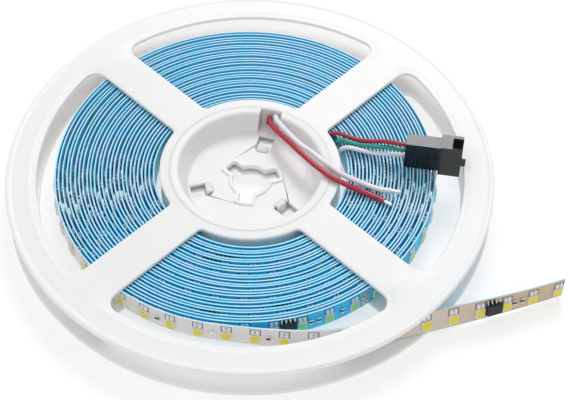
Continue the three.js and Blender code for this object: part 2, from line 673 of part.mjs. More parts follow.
function tubeAlong(curve, diameter, steps) {
  const ring = new THREE.Shape(circlePoints(diameter / 2, WIRE_SIDES));
  return new THREE.ExtrudeGeometry(ring, { steps, extrudePath: curve, bevelEnabled: false });
}

// A bare tinned end that carries on in the direction in which a wire ends
function tipGeometry(curve) {
  const end = curve.getPoint(1);
  const way = curve.getTangent(1);
  const start = end.clone().addScaledVector(way, END_FACE_GAP);
  const stop = start.clone().addScaledVector(way, TIP_LENGTH);
  return tubeAlong(new THREE.LineCurve3(start, stop), TIP_DIAMETER, 1);
}

for (const [color, points] of Object.entries(LEAD_ROUTES)) {
  const curve = wireCurve(points);
  addPiece(`lead_wire_${color}`, tubeAlong(curve, LEAD_DIAMETER, LEAD_STEPS), color);
  addPiece(`lead_tip_${color}`, tipGeometry(curve), 'tip');
}
for (const [color, points] of Object.entries(PLUG_WIRE_ROUTES)) {
  addPiece(`plug_wire_${color}`, tubeAlong(wireCurve(points), PLUG_WIRE_DIAMETER, PLUG_WIRE_STEPS), color);
}

model.position.set(-frameCentre.x, -frameCentre.y, -frameBox.min.z);

export default model;
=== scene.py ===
"""A plastic reel of LED strip light, dressed over its CAD frame.

Lengths are in metres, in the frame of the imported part: +Z up along the reel's axis, +X towards the side
at which the strip's tail runs out. Run as a script, this makes the cords, the reel, the strip, the plug and the stage.
"""

import math

import bmesh
import bpy
import numpy as np
from bpy.props import FloatProperty, FloatVectorProperty, PointerProperty
from mathutils import Matrix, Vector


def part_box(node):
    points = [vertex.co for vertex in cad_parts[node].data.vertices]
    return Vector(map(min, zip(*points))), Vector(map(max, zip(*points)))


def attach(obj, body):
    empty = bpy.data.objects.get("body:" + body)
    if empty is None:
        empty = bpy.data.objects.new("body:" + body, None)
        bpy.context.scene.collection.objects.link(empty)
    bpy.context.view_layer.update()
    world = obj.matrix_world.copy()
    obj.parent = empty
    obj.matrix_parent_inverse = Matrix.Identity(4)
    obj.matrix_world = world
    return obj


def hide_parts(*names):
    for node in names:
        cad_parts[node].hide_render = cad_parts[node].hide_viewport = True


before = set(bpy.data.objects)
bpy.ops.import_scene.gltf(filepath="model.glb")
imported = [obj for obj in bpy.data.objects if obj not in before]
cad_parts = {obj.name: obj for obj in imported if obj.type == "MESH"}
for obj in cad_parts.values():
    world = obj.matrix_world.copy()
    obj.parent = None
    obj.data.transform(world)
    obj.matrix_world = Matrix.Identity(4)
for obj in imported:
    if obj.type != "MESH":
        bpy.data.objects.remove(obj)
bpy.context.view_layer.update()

bl_info = {
    "name": "LED Strip Reel",
    "version": (1, 0, 0),
    "blender": (4, 5, 0),
    "location": "View3D > Sidebar > Strip Reel",
    "description": "Dresses the CAD frame of an LED strip reel",
    "category": "Object",
}

TURN = 2 * math.pi
REEL_LOW, REEL_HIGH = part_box("upper_reel_half")
AXIS = np.array([(REEL_LOW.x + REEL_HIGH.x) / 2, (REEL_LOW.y + REEL_HIGH.y) / 2, 0.0])

# Fixed margins of the mouldings, in metres

WINDOW_MARGIN = 0.0026  # from the windows out to where the rim's profile starts
STEP_START, STEP_RUN = 0.055, 0.009  # radius at which the step beside the windows starts, and how far it fades in
SEAM_MARGIN = 0.0005  # from the back of the wire notch out to the hub's seam with the flange
FLOOR_MARGIN = 0.0003  # from the dish's foot in to the floor's edge
SLOT_CENTRE = 0.0009  # from a slot's outer end in to the point its patch is spread from
FLOOR_ROUND = 0.00015  # radius of the slots' edges
BOSS_WALL, BOSS_RISE = 0.0012, 0.0006  # of the boss round the bore
DRUM_WALL, DRUM_GAP = 0.0012, 0.0002  # the drum's thickness, and its gap below the upper flange
HOOK_ROOM = 0.0017  # by which the lower half's slots start further out, to carry the hooks

# Places along the strip, counted in LED pitches from the last LED

GROUP = 26  # from one driver chip to the next, and so for all small parts
FIRST_CHIP, FIRST_CAPACITOR, FIRST_CUT = 2.5, 12.5, 25.5
RESISTORS = np.array([1.4, 1.7, 10.55, 14.5])  # in each group
LONE_RESISTOR = 52.5
SLIP_SPAN = (17, 45)  # between these the strip's slip is taken up
WARM_END, OUTER_END, EDGE_WARM_END = (2, 8), (44, 45), (7, 9)  # between these a colour goes over into the next
NEXT_TURN = (44, 62)  # between these the LEDs' yellow phosphor is painted green, the liner's blue light painted in

# The strip and its parts, in metres

CENTRE_RISE, SMALL_RISE = 0.004, 0.0041  # heights of chips and small parts above the strip's lower edge
INNER_CHIP_HEIGHT = 0.42  # share of its height that a chip keeps between the turns
WANDER = ((0.00013, 1.37, 0), (0.00009, 2.91, 1), (0.00008, 0.613, 2))  # reach, radians per radian and start
LEAN_RISE = 0.000225  # by which a strip leaning by a right angle would be lifted, half the CAD board's thickness
HEADING_STEP = 0.0002  # over which the tail's heading is taken, to either side

# The stage

LOOKED_AT = np.array([0.010488, -0.007537, 0.004167])  # from the axis to the camera's aim, in metres
WORLD_LIGHT = 0.74
FLOOR_GLOW = 0.55
FLOOR_HALF = 1.5


# Properties


def length_of(name, description, default):
    """A property for a length in metres."""
    return FloatProperty(name=name, description=description, default=default, min=0, precision=5, unit="LENGTH")


def angle_of(name, description, degrees):
    """A property for an angle, given here in degrees."""
    return FloatProperty(name=name, description=description, default=math.radians(degrees), subtype="ANGLE")


def colour_of(name, description, default):
    """A property for a linear colour."""
    return FloatVectorProperty(name=name, description=description, default=default, min=0, max=1, subtype="COLOR")


class ReelSizes(bpy.types.PropertyGroup):
    """The moulded reel."""

    flange_radius: length_of("Flange radius", "From the axis to the rim's outer edge", 0.075)
    height: length_of("Height", "Over both rims", 0.0114)
    rim_wall: length_of("Rim wall", "Thickness of the rim", 0.0016)
    web_recess: length_of("Web recess", "How far the spokes lie below the bead on the rim", 0.0003)
    bead_width: length_of("Bead width", "Width of the raised bead at the rim's edge", 0.0016)
    bead_rise: length_of("Bead rise", "How far the bead stands above the rim", 0.00015)
    window_outer: length_of("Window outer radius", "From the axis to a window's outer edge", 0.0656)
    window_inner: length_of("Window inner radius", "From the axis to a window's inner edge", 0.028)
    window_outer_fillet: length_of("Outer fillet", "Radius of a window's outer corners", 0.004)
    window_inner_fillet: length_of("Inner fillet", "Radius of a window's inner corners", 0.0016)
    spoke_width: length_of("Spoke width", "Across a spoke", 0.013)
    spoke_turn: angle_of("Spoke turn", "Direction of the first spoke", 46)
    edge_round: length_of("Edge round", "Radius of the windows' moulded edges", 0.0003)
    dish_radius: length_of("Dish radius", "Radius of the hub dish at its lip", 0.022)
    dish_foot: length_of("Dish foot", "Radius of the hub dish at its floor", 0.0196)
    dish_depth: length_of("Dish depth", "From the spokes down to the dish floor", 0.0068)
    dish_wall: length_of("Dish wall", "Thickness of the dish", 0.0012)
    drum_radius: length_of("Drum radius", "Radius of the drum inside the roll", 0.0273)
    bore_radius: length_of("Bore radius", "Radius of the round part of the bore", 0.0056)
    key_reach: length_of("Key reach", "From the axis to the end of a keyway", 0.009)
    key_width: length_of("Key width", "Across a keyway", 0.0042)
    key_turn: angle_of("Key turn", "Direction of the first keyway", 18)
    slot_inner: length_of("Slot inner radius", "From the axis to a slot's inner end", 0.0128)
    slot_outer: length_of("Slot outer radius", "From the axis to a slot's outer end", 0.0189)
    slot_width: length_of("Slot width", "Across a slot", 0.005)
    slot_turn: angle_of("Slot turn", "Direction of the first slot, and of the wire notch", 75)
    notch_width: length_of("Notch width", "Across the notch that the wires pass through", 0.0068)
    notch_outer: length_of("Notch outer radius", "From the axis to the notch's back", 0.0244)


class StripSizes(bpy.types.PropertyGroup):
    """The wound strip."""

    width: length_of("Width", "Across the strip", 0.008)
    board: length_of("Board", "From the strip's middle line to its LED side", 0.0002)
    liner: length_of("Liner", "From the strip's middle line to the back of its liner", 0.0003)
    rest_height: length_of("Rest height", "Height of the roll's lower edge", 0.0017)
    inner_radius: length_of("Inner radius", "Radius at which the winding starts", 0.0294)
    pitch: length_of("Turn pitch", "From one turn to the next", 0.00116)
    shift: FloatVectorProperty(name="Shift", description="From the axis to the middle of the outermost turn",
                               default=(-0.0013, 0.0015), size=2, precision=5, unit="LENGTH")
    start_turn: angle_of("Start", "Direction in which the winding starts", 32)
    sweep: angle_of("Sweep", "Angle through which the strip is wound", 9230)
    exit_turn: angle_of("Exit", "Direction in which the tail passes the rim", -46)
    reach: length_of("Reach", "How far the tail runs on past the rim", 0.0433)
    exit_heading: angle_of("Exit heading", "Heading of the tail at the rim", 17.5)
    end_heading: angle_of("End heading", "Heading of the tail at its end", 22)
    sweep_handle: length_of("Sweep handle", "Stiffness of the tail's bend inside the rim", 0.028)
    lean: angle_of("Lean", "How far the tail leans back at its middle", 14)
    end_lift: length_of("End lift", "Height of the tail's end above the table", 0.0005)
    led_pitch: length_of("LED pitch", "From one LED to the next", 0.0083333)
    end_margin: length_of("End margin", "From the last LED to the cut end", 0.0017)
    slip: length_of("Slip", "Shortening of the outer turn that brings the next turn's LEDs to their places", 0.0037)
    led_rise: length_of("LED rise", "From the strip's lower edge to an LED's middle", 0.0032)


class WireSizes(bpy.types.PropertyGroup):
    """The loose wires."""

    lead_diameter: length_of("Lead diameter", "Over the insulation of a power wire", 0.0017)
    plug_diameter: length_of("Plug wire diameter", "Over the insulation of a plug wire", 0.0014)


class ReelColours(bpy.types.PropertyGroup):
    """Colours of the finishes, linear, with the liner's blue light painted into two of them."""

    plastic: colour_of("Reel plastic", "Milky white plastic", (0.85, 0.85, 0.85))
    board: colour_of("Strip board", "White solder mask of the outermost turn", (0.82, 0.79, 0.78))
    tail: colour_of("Tail board", "Warmer white of the tail", (0.6, 0.47, 0.31))
    # Painted light: the wound turns' white mask painted blue, in place of the blue light that the liner casts on it
    wound: colour_of("Wound board", "Solder mask of the wound turns, lit blue by the liner", (0.01, 0.6, 0.95))
    marks: colour_of("Pad outlines", "Dark outlines round the pads", (0.045, 0.03, 0.035))
    edge: colour_of("Strip edge", "Upper edge of board and liner", (0.55, 0.93, 1.0))
    edge_pale: colour_of("Pale strip edge", "Upper edge where the board shows more", (0.9, 0.9, 1.0))
    liner: colour_of("Liner", "Blue adhesive liner", (0.14, 0.64, 0.9))
    phosphor: colour_of("Phosphor", "Yellow window of an LED", (0.8, 0.66, 0.012))
    # Painted light: the yellow phosphor painted green, for the liner's blue light on the first wound turn
    phosphor_painted_liner_light: colour_of("Wound phosphor", "The same on the first wound turn", (0.3, 0.75, 0.2))
    package: colour_of("LED package", "White body of an LED", (0.8, 0.8, 0.76))
    black: colour_of("Black parts", "Chips and plug", (0.006, 0.006, 0.007))
    red: colour_of("Red wire", "Red insulation", (0.42, 0.004, 0.028))
    green: colour_of("Green wire", "Green insulation", (0.01, 0.3, 0.22))
    white: colour_of("White wire", "White insulation", (0.82, 0.8, 0.86))


class StageSettings(bpy.types.PropertyGroup):
    """Camera and light."""

    elevation: angle_of("Elevation", "Camera's angle above the table", 51.354)
    roll: angle_of("Roll", "Camera's turn about its own axis", 0.766)
    distance: length_of("Distance", "From the camera to the point it looks at", 0.43722)
    lens: FloatProperty(name="Lens", description="Focal length on a 36 mm wide sensor", default=89.84, min=1)


# Surfaces


def lattice(points, wrap_rows=False, wrap_columns=False):
    """Points of a grid in one list, and the quads between neighbours, with the seam closed where a side wraps."""
    rows, columns = points.shape[:2]
    index = np.arange(rows * columns).reshape(rows, columns)
    if wrap_rows:
        index = np.concatenate([index, index[:1]])
    if wrap_columns:
        index = np.concatenate([index, index[:, :1]], axis=1)
    quads = np.stack([index[:-1, :-1], index[1:, :-1], index[1:, 1:], index[:-1, 1:]], axis=-1)
    return points.reshape(-1, 3), quads.reshape(-1, 4)


def joined(shells):
    """Several lists of points and quads as one, each list's quads counted on from the points before it."""
    starts = np.cumsum([0] + [len(points) for points, _ in shells[:-1]])
    points = np.concatenate([points for points, _ in shells])
    return points, np.concatenate([quads + start for (_, quads), start in zip(shells, starts)])


def shade(mesh, sharp):
    """Smooth shading, but for edges over an angle in degrees."""
    mesh.polygons.foreach_set("use_smooth", np.ones(len(mesh.polygons), dtype=bool))
    mesh.set_sharp_from_angle(angle=math.radians(sharp))


def mesh_piece(name, points, quads, slot, materials, face_slots=None, uv=None, sharp=35):
    """A mesh piece from points in metres and quads, its corners merged and its faces turned outwards."""
    mesh = bpy.data.meshes.new(name)
    mesh.vertices.add(len(points))
    mesh.vertices.foreach_set("co", (points + AXIS).astype(np.float32).ravel())
    mesh.loops.add(quads.size)
    mesh.loops.foreach_set("vertex_index", quads.astype(np.int32).ravel())
    mesh.polygons.add(len(quads))
    mesh.polygons.foreach_set("loop_start", np.arange(0, quads.size, 4, dtype=np.int32))
    if uv is not None:
        layer = mesh.uv_layers.new(name="strip")
        layer.data.foreach_set("uv", uv[quads].astype(np.float32).ravel())
    if face_slots is not None:
        mesh.polygons.foreach_set("material_index", face_slots.astype(np.int32))
    mesh.update(calc_edges=True)
    shaped = bmesh.new()
    shaped.from_mesh(mesh)
    bmesh.ops.remove_doubles(shaped, verts=shaped.verts, dist=1e-7)
    bmesh.ops.dissolve_degenerate(shaped, edges=shaped.edges, dist=1e-8)
    bmesh.ops.recalc_face_normals(shaped, faces=shaped.faces)
    shaped.to_mesh(mesh)
    shaped.free()
    shade(mesh, sharp)
    for material in materials:
        mesh.materials.append(material)
    piece = bpy.data.objects.new(name, mesh)
    bpy.context.scene.collection.objects.link(piece)
    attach(piece, "root")
    return piece


def polar(radius, angle):
    """Flat points at a radius and an angle: radius times cosine and sine."""
    return np.stack(np.broadcast_arrays(radius * np.cos(angle), radius * np.sin(angle)), axis=-1)


def ring(profile, angles):
    """A profile of radius and height turned about the axis: x = r cos a, y = r sin a, z = height."""
    radius, height = np.array(profile, float).T
    flat = polar(radius[None, :], np.asarray(angles)[:, None])
    return np.concatenate([flat, np.broadcast_to(height[None, :, None], flat.shape[:2] + (1,))], axis=-1)


def arc(centre, radius, start, stop, count):
    """Points on an arc from one angle to another, without the last one."""
    return np.asarray(centre) + polar(radius, np.linspace(start, stop, count, endpoint=False))


def line(start, stop, count):
    """Points on a straight line, without the last one."""
    return np.linspace(np.asarray(start, float), np.asarray(stop, float), count, endpoint=False)


def holed_patch(hole, border, rows):
    """A plate between a hole's outline and an outer border with as many points.

    Each row gives how far it lies from the hole's outline along the outline's normal, or None for the border,
    and its height. Row by row the points are hole + offset * normal.
    """
    along = np.roll(hole, -1, axis=0) - np.roll(hole, 1, axis=0)
    along /= np.linalg.norm(along, axis=1, keepdims=True)
    normal = np.stack([along[:, 1], -along[:, 0]], axis=-1)
    stacked = []
    for offset, height in rows:
        flat = border if offset is None else hole + offset * normal
        stacked.append(np.column_stack([flat, np.broadcast_to(height, len(flat))]))
    return np.stack(stacked, axis=1)


def turned_copies(points, angles):
    """The same points turned about the axis by each of some angles."""
    cos, sin = np.cos(angles), np.sin(angles)
    x, y, z = points[..., 0], points[..., 1], points[..., 2]
    return [np.stack([c * x - s * y, s * x + c * y, z], axis=-1) for c, s in zip(cos, sin)]


# Reel halves


def window_loops(reel, rim_radius, hub_radius):
    """A window's outline and the border of its quarter of the flange, point for point.

    The first spoke lies along angle 0 and the next along a right angle. The outline runs anticlockwise through
    outer arc, corner, side, corner, inner arc, corner, side and corner. The border follows the rim circle,
    the middle lines of the two spokes and the hub circle, and changes over at the middle of each corner.
    """
    half = reel.spoke_width / 2
    outer, inner = reel.window_outer, reel.window_inner
    f, g = reel.window_outer_fillet, reel.window_inner_fillet
    quarter = math.pi / 2
    a = math.asin((half + f) / (outer - f))
    b = math.asin((half + g) / (inner + g))
    near, far = polar(outer - f, a), polar(outer - f, quarter - a)
    deep, shallow = polar(inner + g, quarter - b), polar(inner + g, b)
    near_mid, far_mid = (3 * quarter + 4 * quarter + a) / 2, (3 * quarter - a) / 2
    deep_mid, shallow_mid = (5 * quarter - b) / 2, (5 * quarter + b) / 2
    corner, small, sides = 7, 4, 20
    hole = np.concatenate([
        arc(near, f, near_mid, 4 * quarter + a, corner),
        arc((0, 0), outer, a, quarter - a, 44),
        arc(far, f, quarter - a, far_mid, corner),
        arc(far, f, far_mid, 2 * quarter, corner),
        line((half, far[1]), (half, deep[1]), sides),
        arc(deep, g, 2 * quarter, deep_mid, small),
        arc(deep, g, deep_mid, 3 * quarter - b, small),
        arc((0, 0), inner, quarter - b, b, 18),
        arc(shallow, g, 2 * quarter + b, shallow_mid, small),
        arc(shallow, g, shallow_mid, 3 * quarter, small),
        line((shallow[0], half), (near[0], half), sides),
        arc(near, f, 3 * quarter, near_mid, corner),
    ])
    border = np.concatenate([
        arc((0, 0), rim_radius, 0, a, corner),
        arc((0, 0), rim_radius, a, quarter - a, 44),
        arc((0, 0), rim_radius, quarter - a, quarter, corner),
        line((0, rim_radius), (0, far[1]), corner),
        line((0, far[1]), (0, deep[1]), sides),
        line((0, deep[1]), (0, hub_radius), small),
        arc((0, 0), hub_radius, quarter, quarter - b, small),
        arc((0, 0), hub_radius, quarter - b, b, 18),
        arc((0, 0), hub_radius, b, 0, small),
        line((hub_radius, 0), (shallow[0], 0), small),
        line((shallow[0], 0), (near[0], 0), sides),
        line((near[0], 0), (rim_radius, 0), corner),
    ])
    return hole, border


def flange_shell(reel, bead_rise):
    """One flange with its four windows, its outer face up and its lowest point at the height of its inner face.

    Each quarter is a plate between a window and its border. The rim is a profile of radius and height turned
    about the axis through the border's own points. The step beside the window fades along the spokes by a
    smooth function of the radius.
    """
    wall, top = reel.rim_wall, reel.rim_wall - reel.web_recess
    rim_radius, hub_radius = reel.window_outer + WINDOW_MARGIN, reel.notch_outer + SEAM_MARGIN
    rim_top = reel.rim_wall - bead_rise
    hole, border = window_loops(reel, rim_radius, hub_radius)
    from_axis = np.linalg.norm(border, axis=1)
    share = np.clip((from_axis - STEP_START) / STEP_RUN, 0, 1)
    raised = top + (rim_top - top) * share * share * (3 - 2 * share)
    e = reel.edge_round
    patch = holed_patch(hole, border, [
        (None, raised),
        (0.0021, raised),
        (0.0016, top + (raised - top) * 0.2),
        (0.0014, top),
        (1.3 * e, top),
        (0.6 * e, top - 0.12 * e),
        (0.2 * e, top - 0.45 * e),
        (0.0, top - e),
        (0.0, e),
        (0.3 * e, 0.3 * e),
        (e, 0.0),
        (None, 0.0),
    ])
    turns = reel.spoke_turn + np.arange(4) * TURN / 4
    shells = [lattice(copy, wrap_rows=True) for copy in turned_copies(patch, turns)]

    def angles_on(circle):
        on_it = border[np.isclose(from_axis, circle)]
        quarter = np.unique(np.round(np.arctan2(on_it[:, 1], on_it[:, 0]), 9))[:-1]
        return np.concatenate([quarter + turn for turn in turns])

    edge, bead, r = reel.flange_radius, reel.bead_width, 0.0005
    rounding = np.linspace(0, math.pi / 2, 5)
    upper = [(edge - r + r * math.sin(t), wall - r + r * math.cos(t)) for t in rounding]
    lower = [(edge - r + r * math.cos(t), r - r * math.sin(t)) for t in rounding]
    rim = [(rim_radius, rim_top), (edge - bead - 0.0006, rim_top), (edge - bead - 0.0002, wall - 0.8 * bead_rise),
           (edge - bead, wall), *upper, *lower, (rim_radius, 0.0)]
    shells.append(lattice(ring(rim, angles_on(rim_radius)), wrap_rows=True))
    shells.append(lattice(ring([(hub_radius, top), (hub_radius, 0.0)], angles_on(hub_radius)), wrap_rows=True))
    return joined(shells)


def floor_shells(reel, outer_radius, outer_angles, top, under, slot_inner, boss_rise):
    """A hub floor between a circle and the keyed bore, with a slot in each third of it.

    The bore's radius at an angle is the larger of the round bore and the nearest keyway, whose side is
    half width / sine of the angle from its middle line. The boss round it is the same with a margin.
    """
    keys = reel.key_turn + np.arange(3) * TURN / 3
    offsets = np.radians([0, 5, 9, 12.4, 15, 18.2, 20.3, 24, 28, 34, 42, 50])
    within = np.concatenate([offsets, [math.pi / 3], TURN / 3 - offsets[:0:-1]])

    def outline(margin, angles):
        aside = np.abs((angles - reel.key_turn + TURN / 6) % (TURN / 3) - TURN / 6)
        side = (reel.key_width / 2 + margin) / np.maximum(np.sin(aside), 1e-6)
        return np.maximum(reel.bore_radius + margin, np.minimum(reel.key_reach + margin, side))

    shells = []
    angles = np.sort((outer_angles - keys[0]) % TURN) + keys[0]
    cuts = [int(np.argmin(np.abs(angles - key))) for key in keys]
    for third, key in enumerate(keys):
        if third < 2:
            run = angles[cuts[third]:cuts[third + 1] + 1]
        else:
            run = np.append(angles[cuts[2]:], angles[cuts[0]] + TURN)
        inner = (key + within)[::-1]
        side = 8
        border = np.concatenate([
            polar(outer_radius, run[:-1]),
            polar(np.linspace(outer_radius, outline(BOSS_WALL, key + TURN / 3 - 1e-9), side, endpoint=False),
                  np.linspace(run[-1], key + TURN / 3, side, endpoint=False)),
            polar(outline(BOSS_WALL, key + TURN / 3), np.array([key + TURN / 3])),
            polar(outline(BOSS_WALL, inner), inner),
            polar(np.linspace(outline(BOSS_WALL, key), outer_radius, side + 1)[1:-1],
                  np.linspace(key, run[0], side + 1)[1:-1]),
        ])
        middle = reel.slot_turn + third * TURN / 3
        cos, sin = math.cos(middle), math.sin(middle)
        turned = np.array([[cos, sin], [-sin, cos]])
        centre = np.array([reel.slot_outer - SLOT_CENTRE, 0])
        low = np.array([slot_inner, -reel.slot_width / 2]) - centre
        high = np.array([reel.slot_outer, reel.slot_width / 2]) - centre
        aim = border @ turned.T - centre
        aim = np.where(np.abs(aim) < 1e-9, 1e-9, aim)
        box = aim * np.min(np.where(aim > 0, high, low) / aim, axis=1, keepdims=True)
        for corner in (low, high, (low[0], high[1]), (high[0], low[1])):
            box[np.argmin(np.linalg.norm(box - corner, axis=1))] = corner
        hole = (box + centre) @ turned
        e = FLOOR_ROUND
        patch = holed_patch(hole, border, [
            (None, top), (e, top), (0.0, top - e), (0.0, under + e), (e, under), (None, under)])
        shells.append(lattice(patch, wrap_rows=True))
    around = np.concatenate([key + within for key in keys])
    bosses, bores = outline(BOSS_WALL, around), outline(0.0, around)
    height = top + boss_rise
    rows = [(bosses, top), (bosses - 0.0001, height - 0.0002 if boss_rise else top), (bosses - 0.0003, height),
            (bores + 0.0003, height), (bores + 0.0001, height - 0.0001), (bores, height - 0.0003),
            (bores, under + 0.0002), (bores + 0.0002, under), (bosses, under)]
    bore = np.stack([np.column_stack([polar(radius, around), np.full(len(around), z)]) for radius, z in rows], axis=1)
    shells.append(lattice(bore, wrap_rows=True))
    return shells


def dish_shell(reel):
    """The hub dish of the upper half: a turned profile whose wall steps out to the back of the wire notch.

    Beside the notch the angle runs evenly. Inside it, the angle at a radius r is the arc sine of y / r for
    even sideways places y, so that the notch's cheeks are parallel.
    """
    web = reel.height - reel.web_recess
    floor = web - reel.dish_depth
    under = floor - reel.dish_wall
    inner_face = reel.height - reel.rim_wall
    seam, lip, foot = reel.notch_outer + SEAM_MARGIN, reel.dish_radius, reel.dish_foot
    edge = foot - FLOOR_MARGIN
    back = reel.notch_outer
    plain = [(seam, web), (lip + 0.001, web), (lip + 0.0006, web - 0.0001), (lip + 0.0003, web - 0.0003),
             (lip + 0.0001, web - 0.0006), (lip - 0.0001, web - 0.0012), (lip - 0.0007, web - 0.0031),
             (foot + 0.0009, floor + 0.0018), (foot + 0.0005, floor + 0.0008), (foot + 0.0001, floor + 0.0002),
             (edge, floor), (edge, under), (foot + 0.0013, under), (lip + 0.0012, inner_face), (seam, inner_face)]
    notched = [(seam, web), (back + 0.0003, web), (back + 0.0001, web - 0.0001), (back, web - 0.0003),
               (back, web - 0.0006), (back, web - 0.001), (back, web - 0.0033),
               (back, floor + 0.0011), (back, floor + 0.0004), (back - 0.0002, floor),
               (edge, floor), (edge, under), (back + 0.0003, under), (seam, inner_face - 0.0001), (seam, inner_face)]
    half = reel.notch_width / 2
    sideways = np.linspace(-half, half, 9)
    inside, outside = np.array(notched), np.array(plain)
    in_angles = np.arcsin(sideways[:, None] / inside[None, :, 0])
    gate = np.arcsin((half + 0.00012) / outside[:, 0])
    even = np.linspace(0, 1, 150)
    out_angles = gate[None, :] + even[:, None] * (TURN - 2 * gate[None, :])
    angles = reel.slot_turn + np.concatenate([in_angles, out_angles])
    radius, height = (np.concatenate([np.broadcast_to(inside[:, i], in_angles.shape),
                                      np.broadcast_to(outside[:, i], out_angles.shape)]) for i in (0, 1))
    grid = np.concatenate([polar(radius, angles), height[..., None]], axis=-1)
    edge_at = plain.index((edge, floor))
    walls = lattice(np.roll(grid, -edge_at - 1, axis=1), wrap_rows=True)
    floors = floor_shells(reel, edge, angles[:, edge_at], floor, under, reel.slot_inner, BOSS_RISE)
    return joined([walls, *floors])


def upper_half_shells(reel):
    """The upper flange, lifted to its place, and its hub dish."""
    points, quads = flange_shell(reel, reel.bead_rise)
    return joined([(points + np.array([0, 0, reel.height - reel.rim_wall]), quads), dish_shell(reel)])


def lower_half_shells(reel):
    """The lower flange, which is the upper one turned over, with its hub disc, drum wall and snap hooks."""
    points, quads = flange_shell(reel, 0.0)
    flange = (points * np.array([1, 1, -1]) + np.array([0, 0, reel.rim_wall]), quads)
    seam, edge = reel.notch_outer + SEAM_MARGIN, reel.dish_foot - FLOOR_MARGIN
    around = np.linspace(0, TURN, 144, endpoint=False)
    low, high = reel.web_recess, reel.rim_wall
    disc = lattice(ring([(edge, low), (seam, low), (seam, high), (edge, high)], around), wrap_rows=True)
    floors = floor_shells(reel, edge, around, high, low, reel.slot_inner + HOOK_ROOM, 0.0)
    inner, outer = reel.drum_radius - DRUM_WALL, reel.drum_radius
    top = reel.height - reel.rim_wall - DRUM_GAP
    drum = lattice(ring([(inner, high - 0.0002), (outer, high - 0.0002), (outer, top - 0.0002), (outer - 0.0002, top),
                         (inner + 0.0002, top), (inner, top - 0.0002)], around), wrap_rows=True, wrap_columns=True)
    hook_profile = np.array([(0.0131, 0.0008), (0.0142, 0.0008), (0.0142, 0.0051), (0.0138, 0.0054),
                             (0.0123, 0.0048), (0.012, 0.0045), (0.0131, 0.0044)])
    across = np.array([-0.0017, -0.0016, 0.0016, 0.0017])
    shrink = np.array([0.9, 1, 1, 0.9])
    centre = hook_profile.mean(0)
    sheets = centre + (hook_profile - centre)[None] * shrink[:, None, None]
    hook = np.stack([sheets[..., 0], np.broadcast_to(across[:, None], sheets.shape[:2]), sheets[..., 1]], axis=-1)
    cap = np.broadcast_to(hook[[0, -1]].mean(1, keepdims=True), (2, len(hook_profile), 3))
    hook = np.concatenate([cap[:1], hook, cap[1:]])
    turns = reel.slot_turn + np.arange(3) * TURN / 3
    hooks = [lattice(copy, wrap_columns=True) for copy in turned_copies(hook, turns)]
    return joined([flange, disc, *floors, drum, *hooks])


# Strip


def bezier(start, first, second, stop, count):
    """A cubic Bezier curve at even parameters: the four points weighted by the cubic Bernstein shares."""
    t = np.linspace(0, 1, count)[:, None]
    return (1 - t) ** 3 * start + 3 * t * (1 - t) ** 2 * first + 3 * t * t * (1 - t) * second + t ** 3 * stop


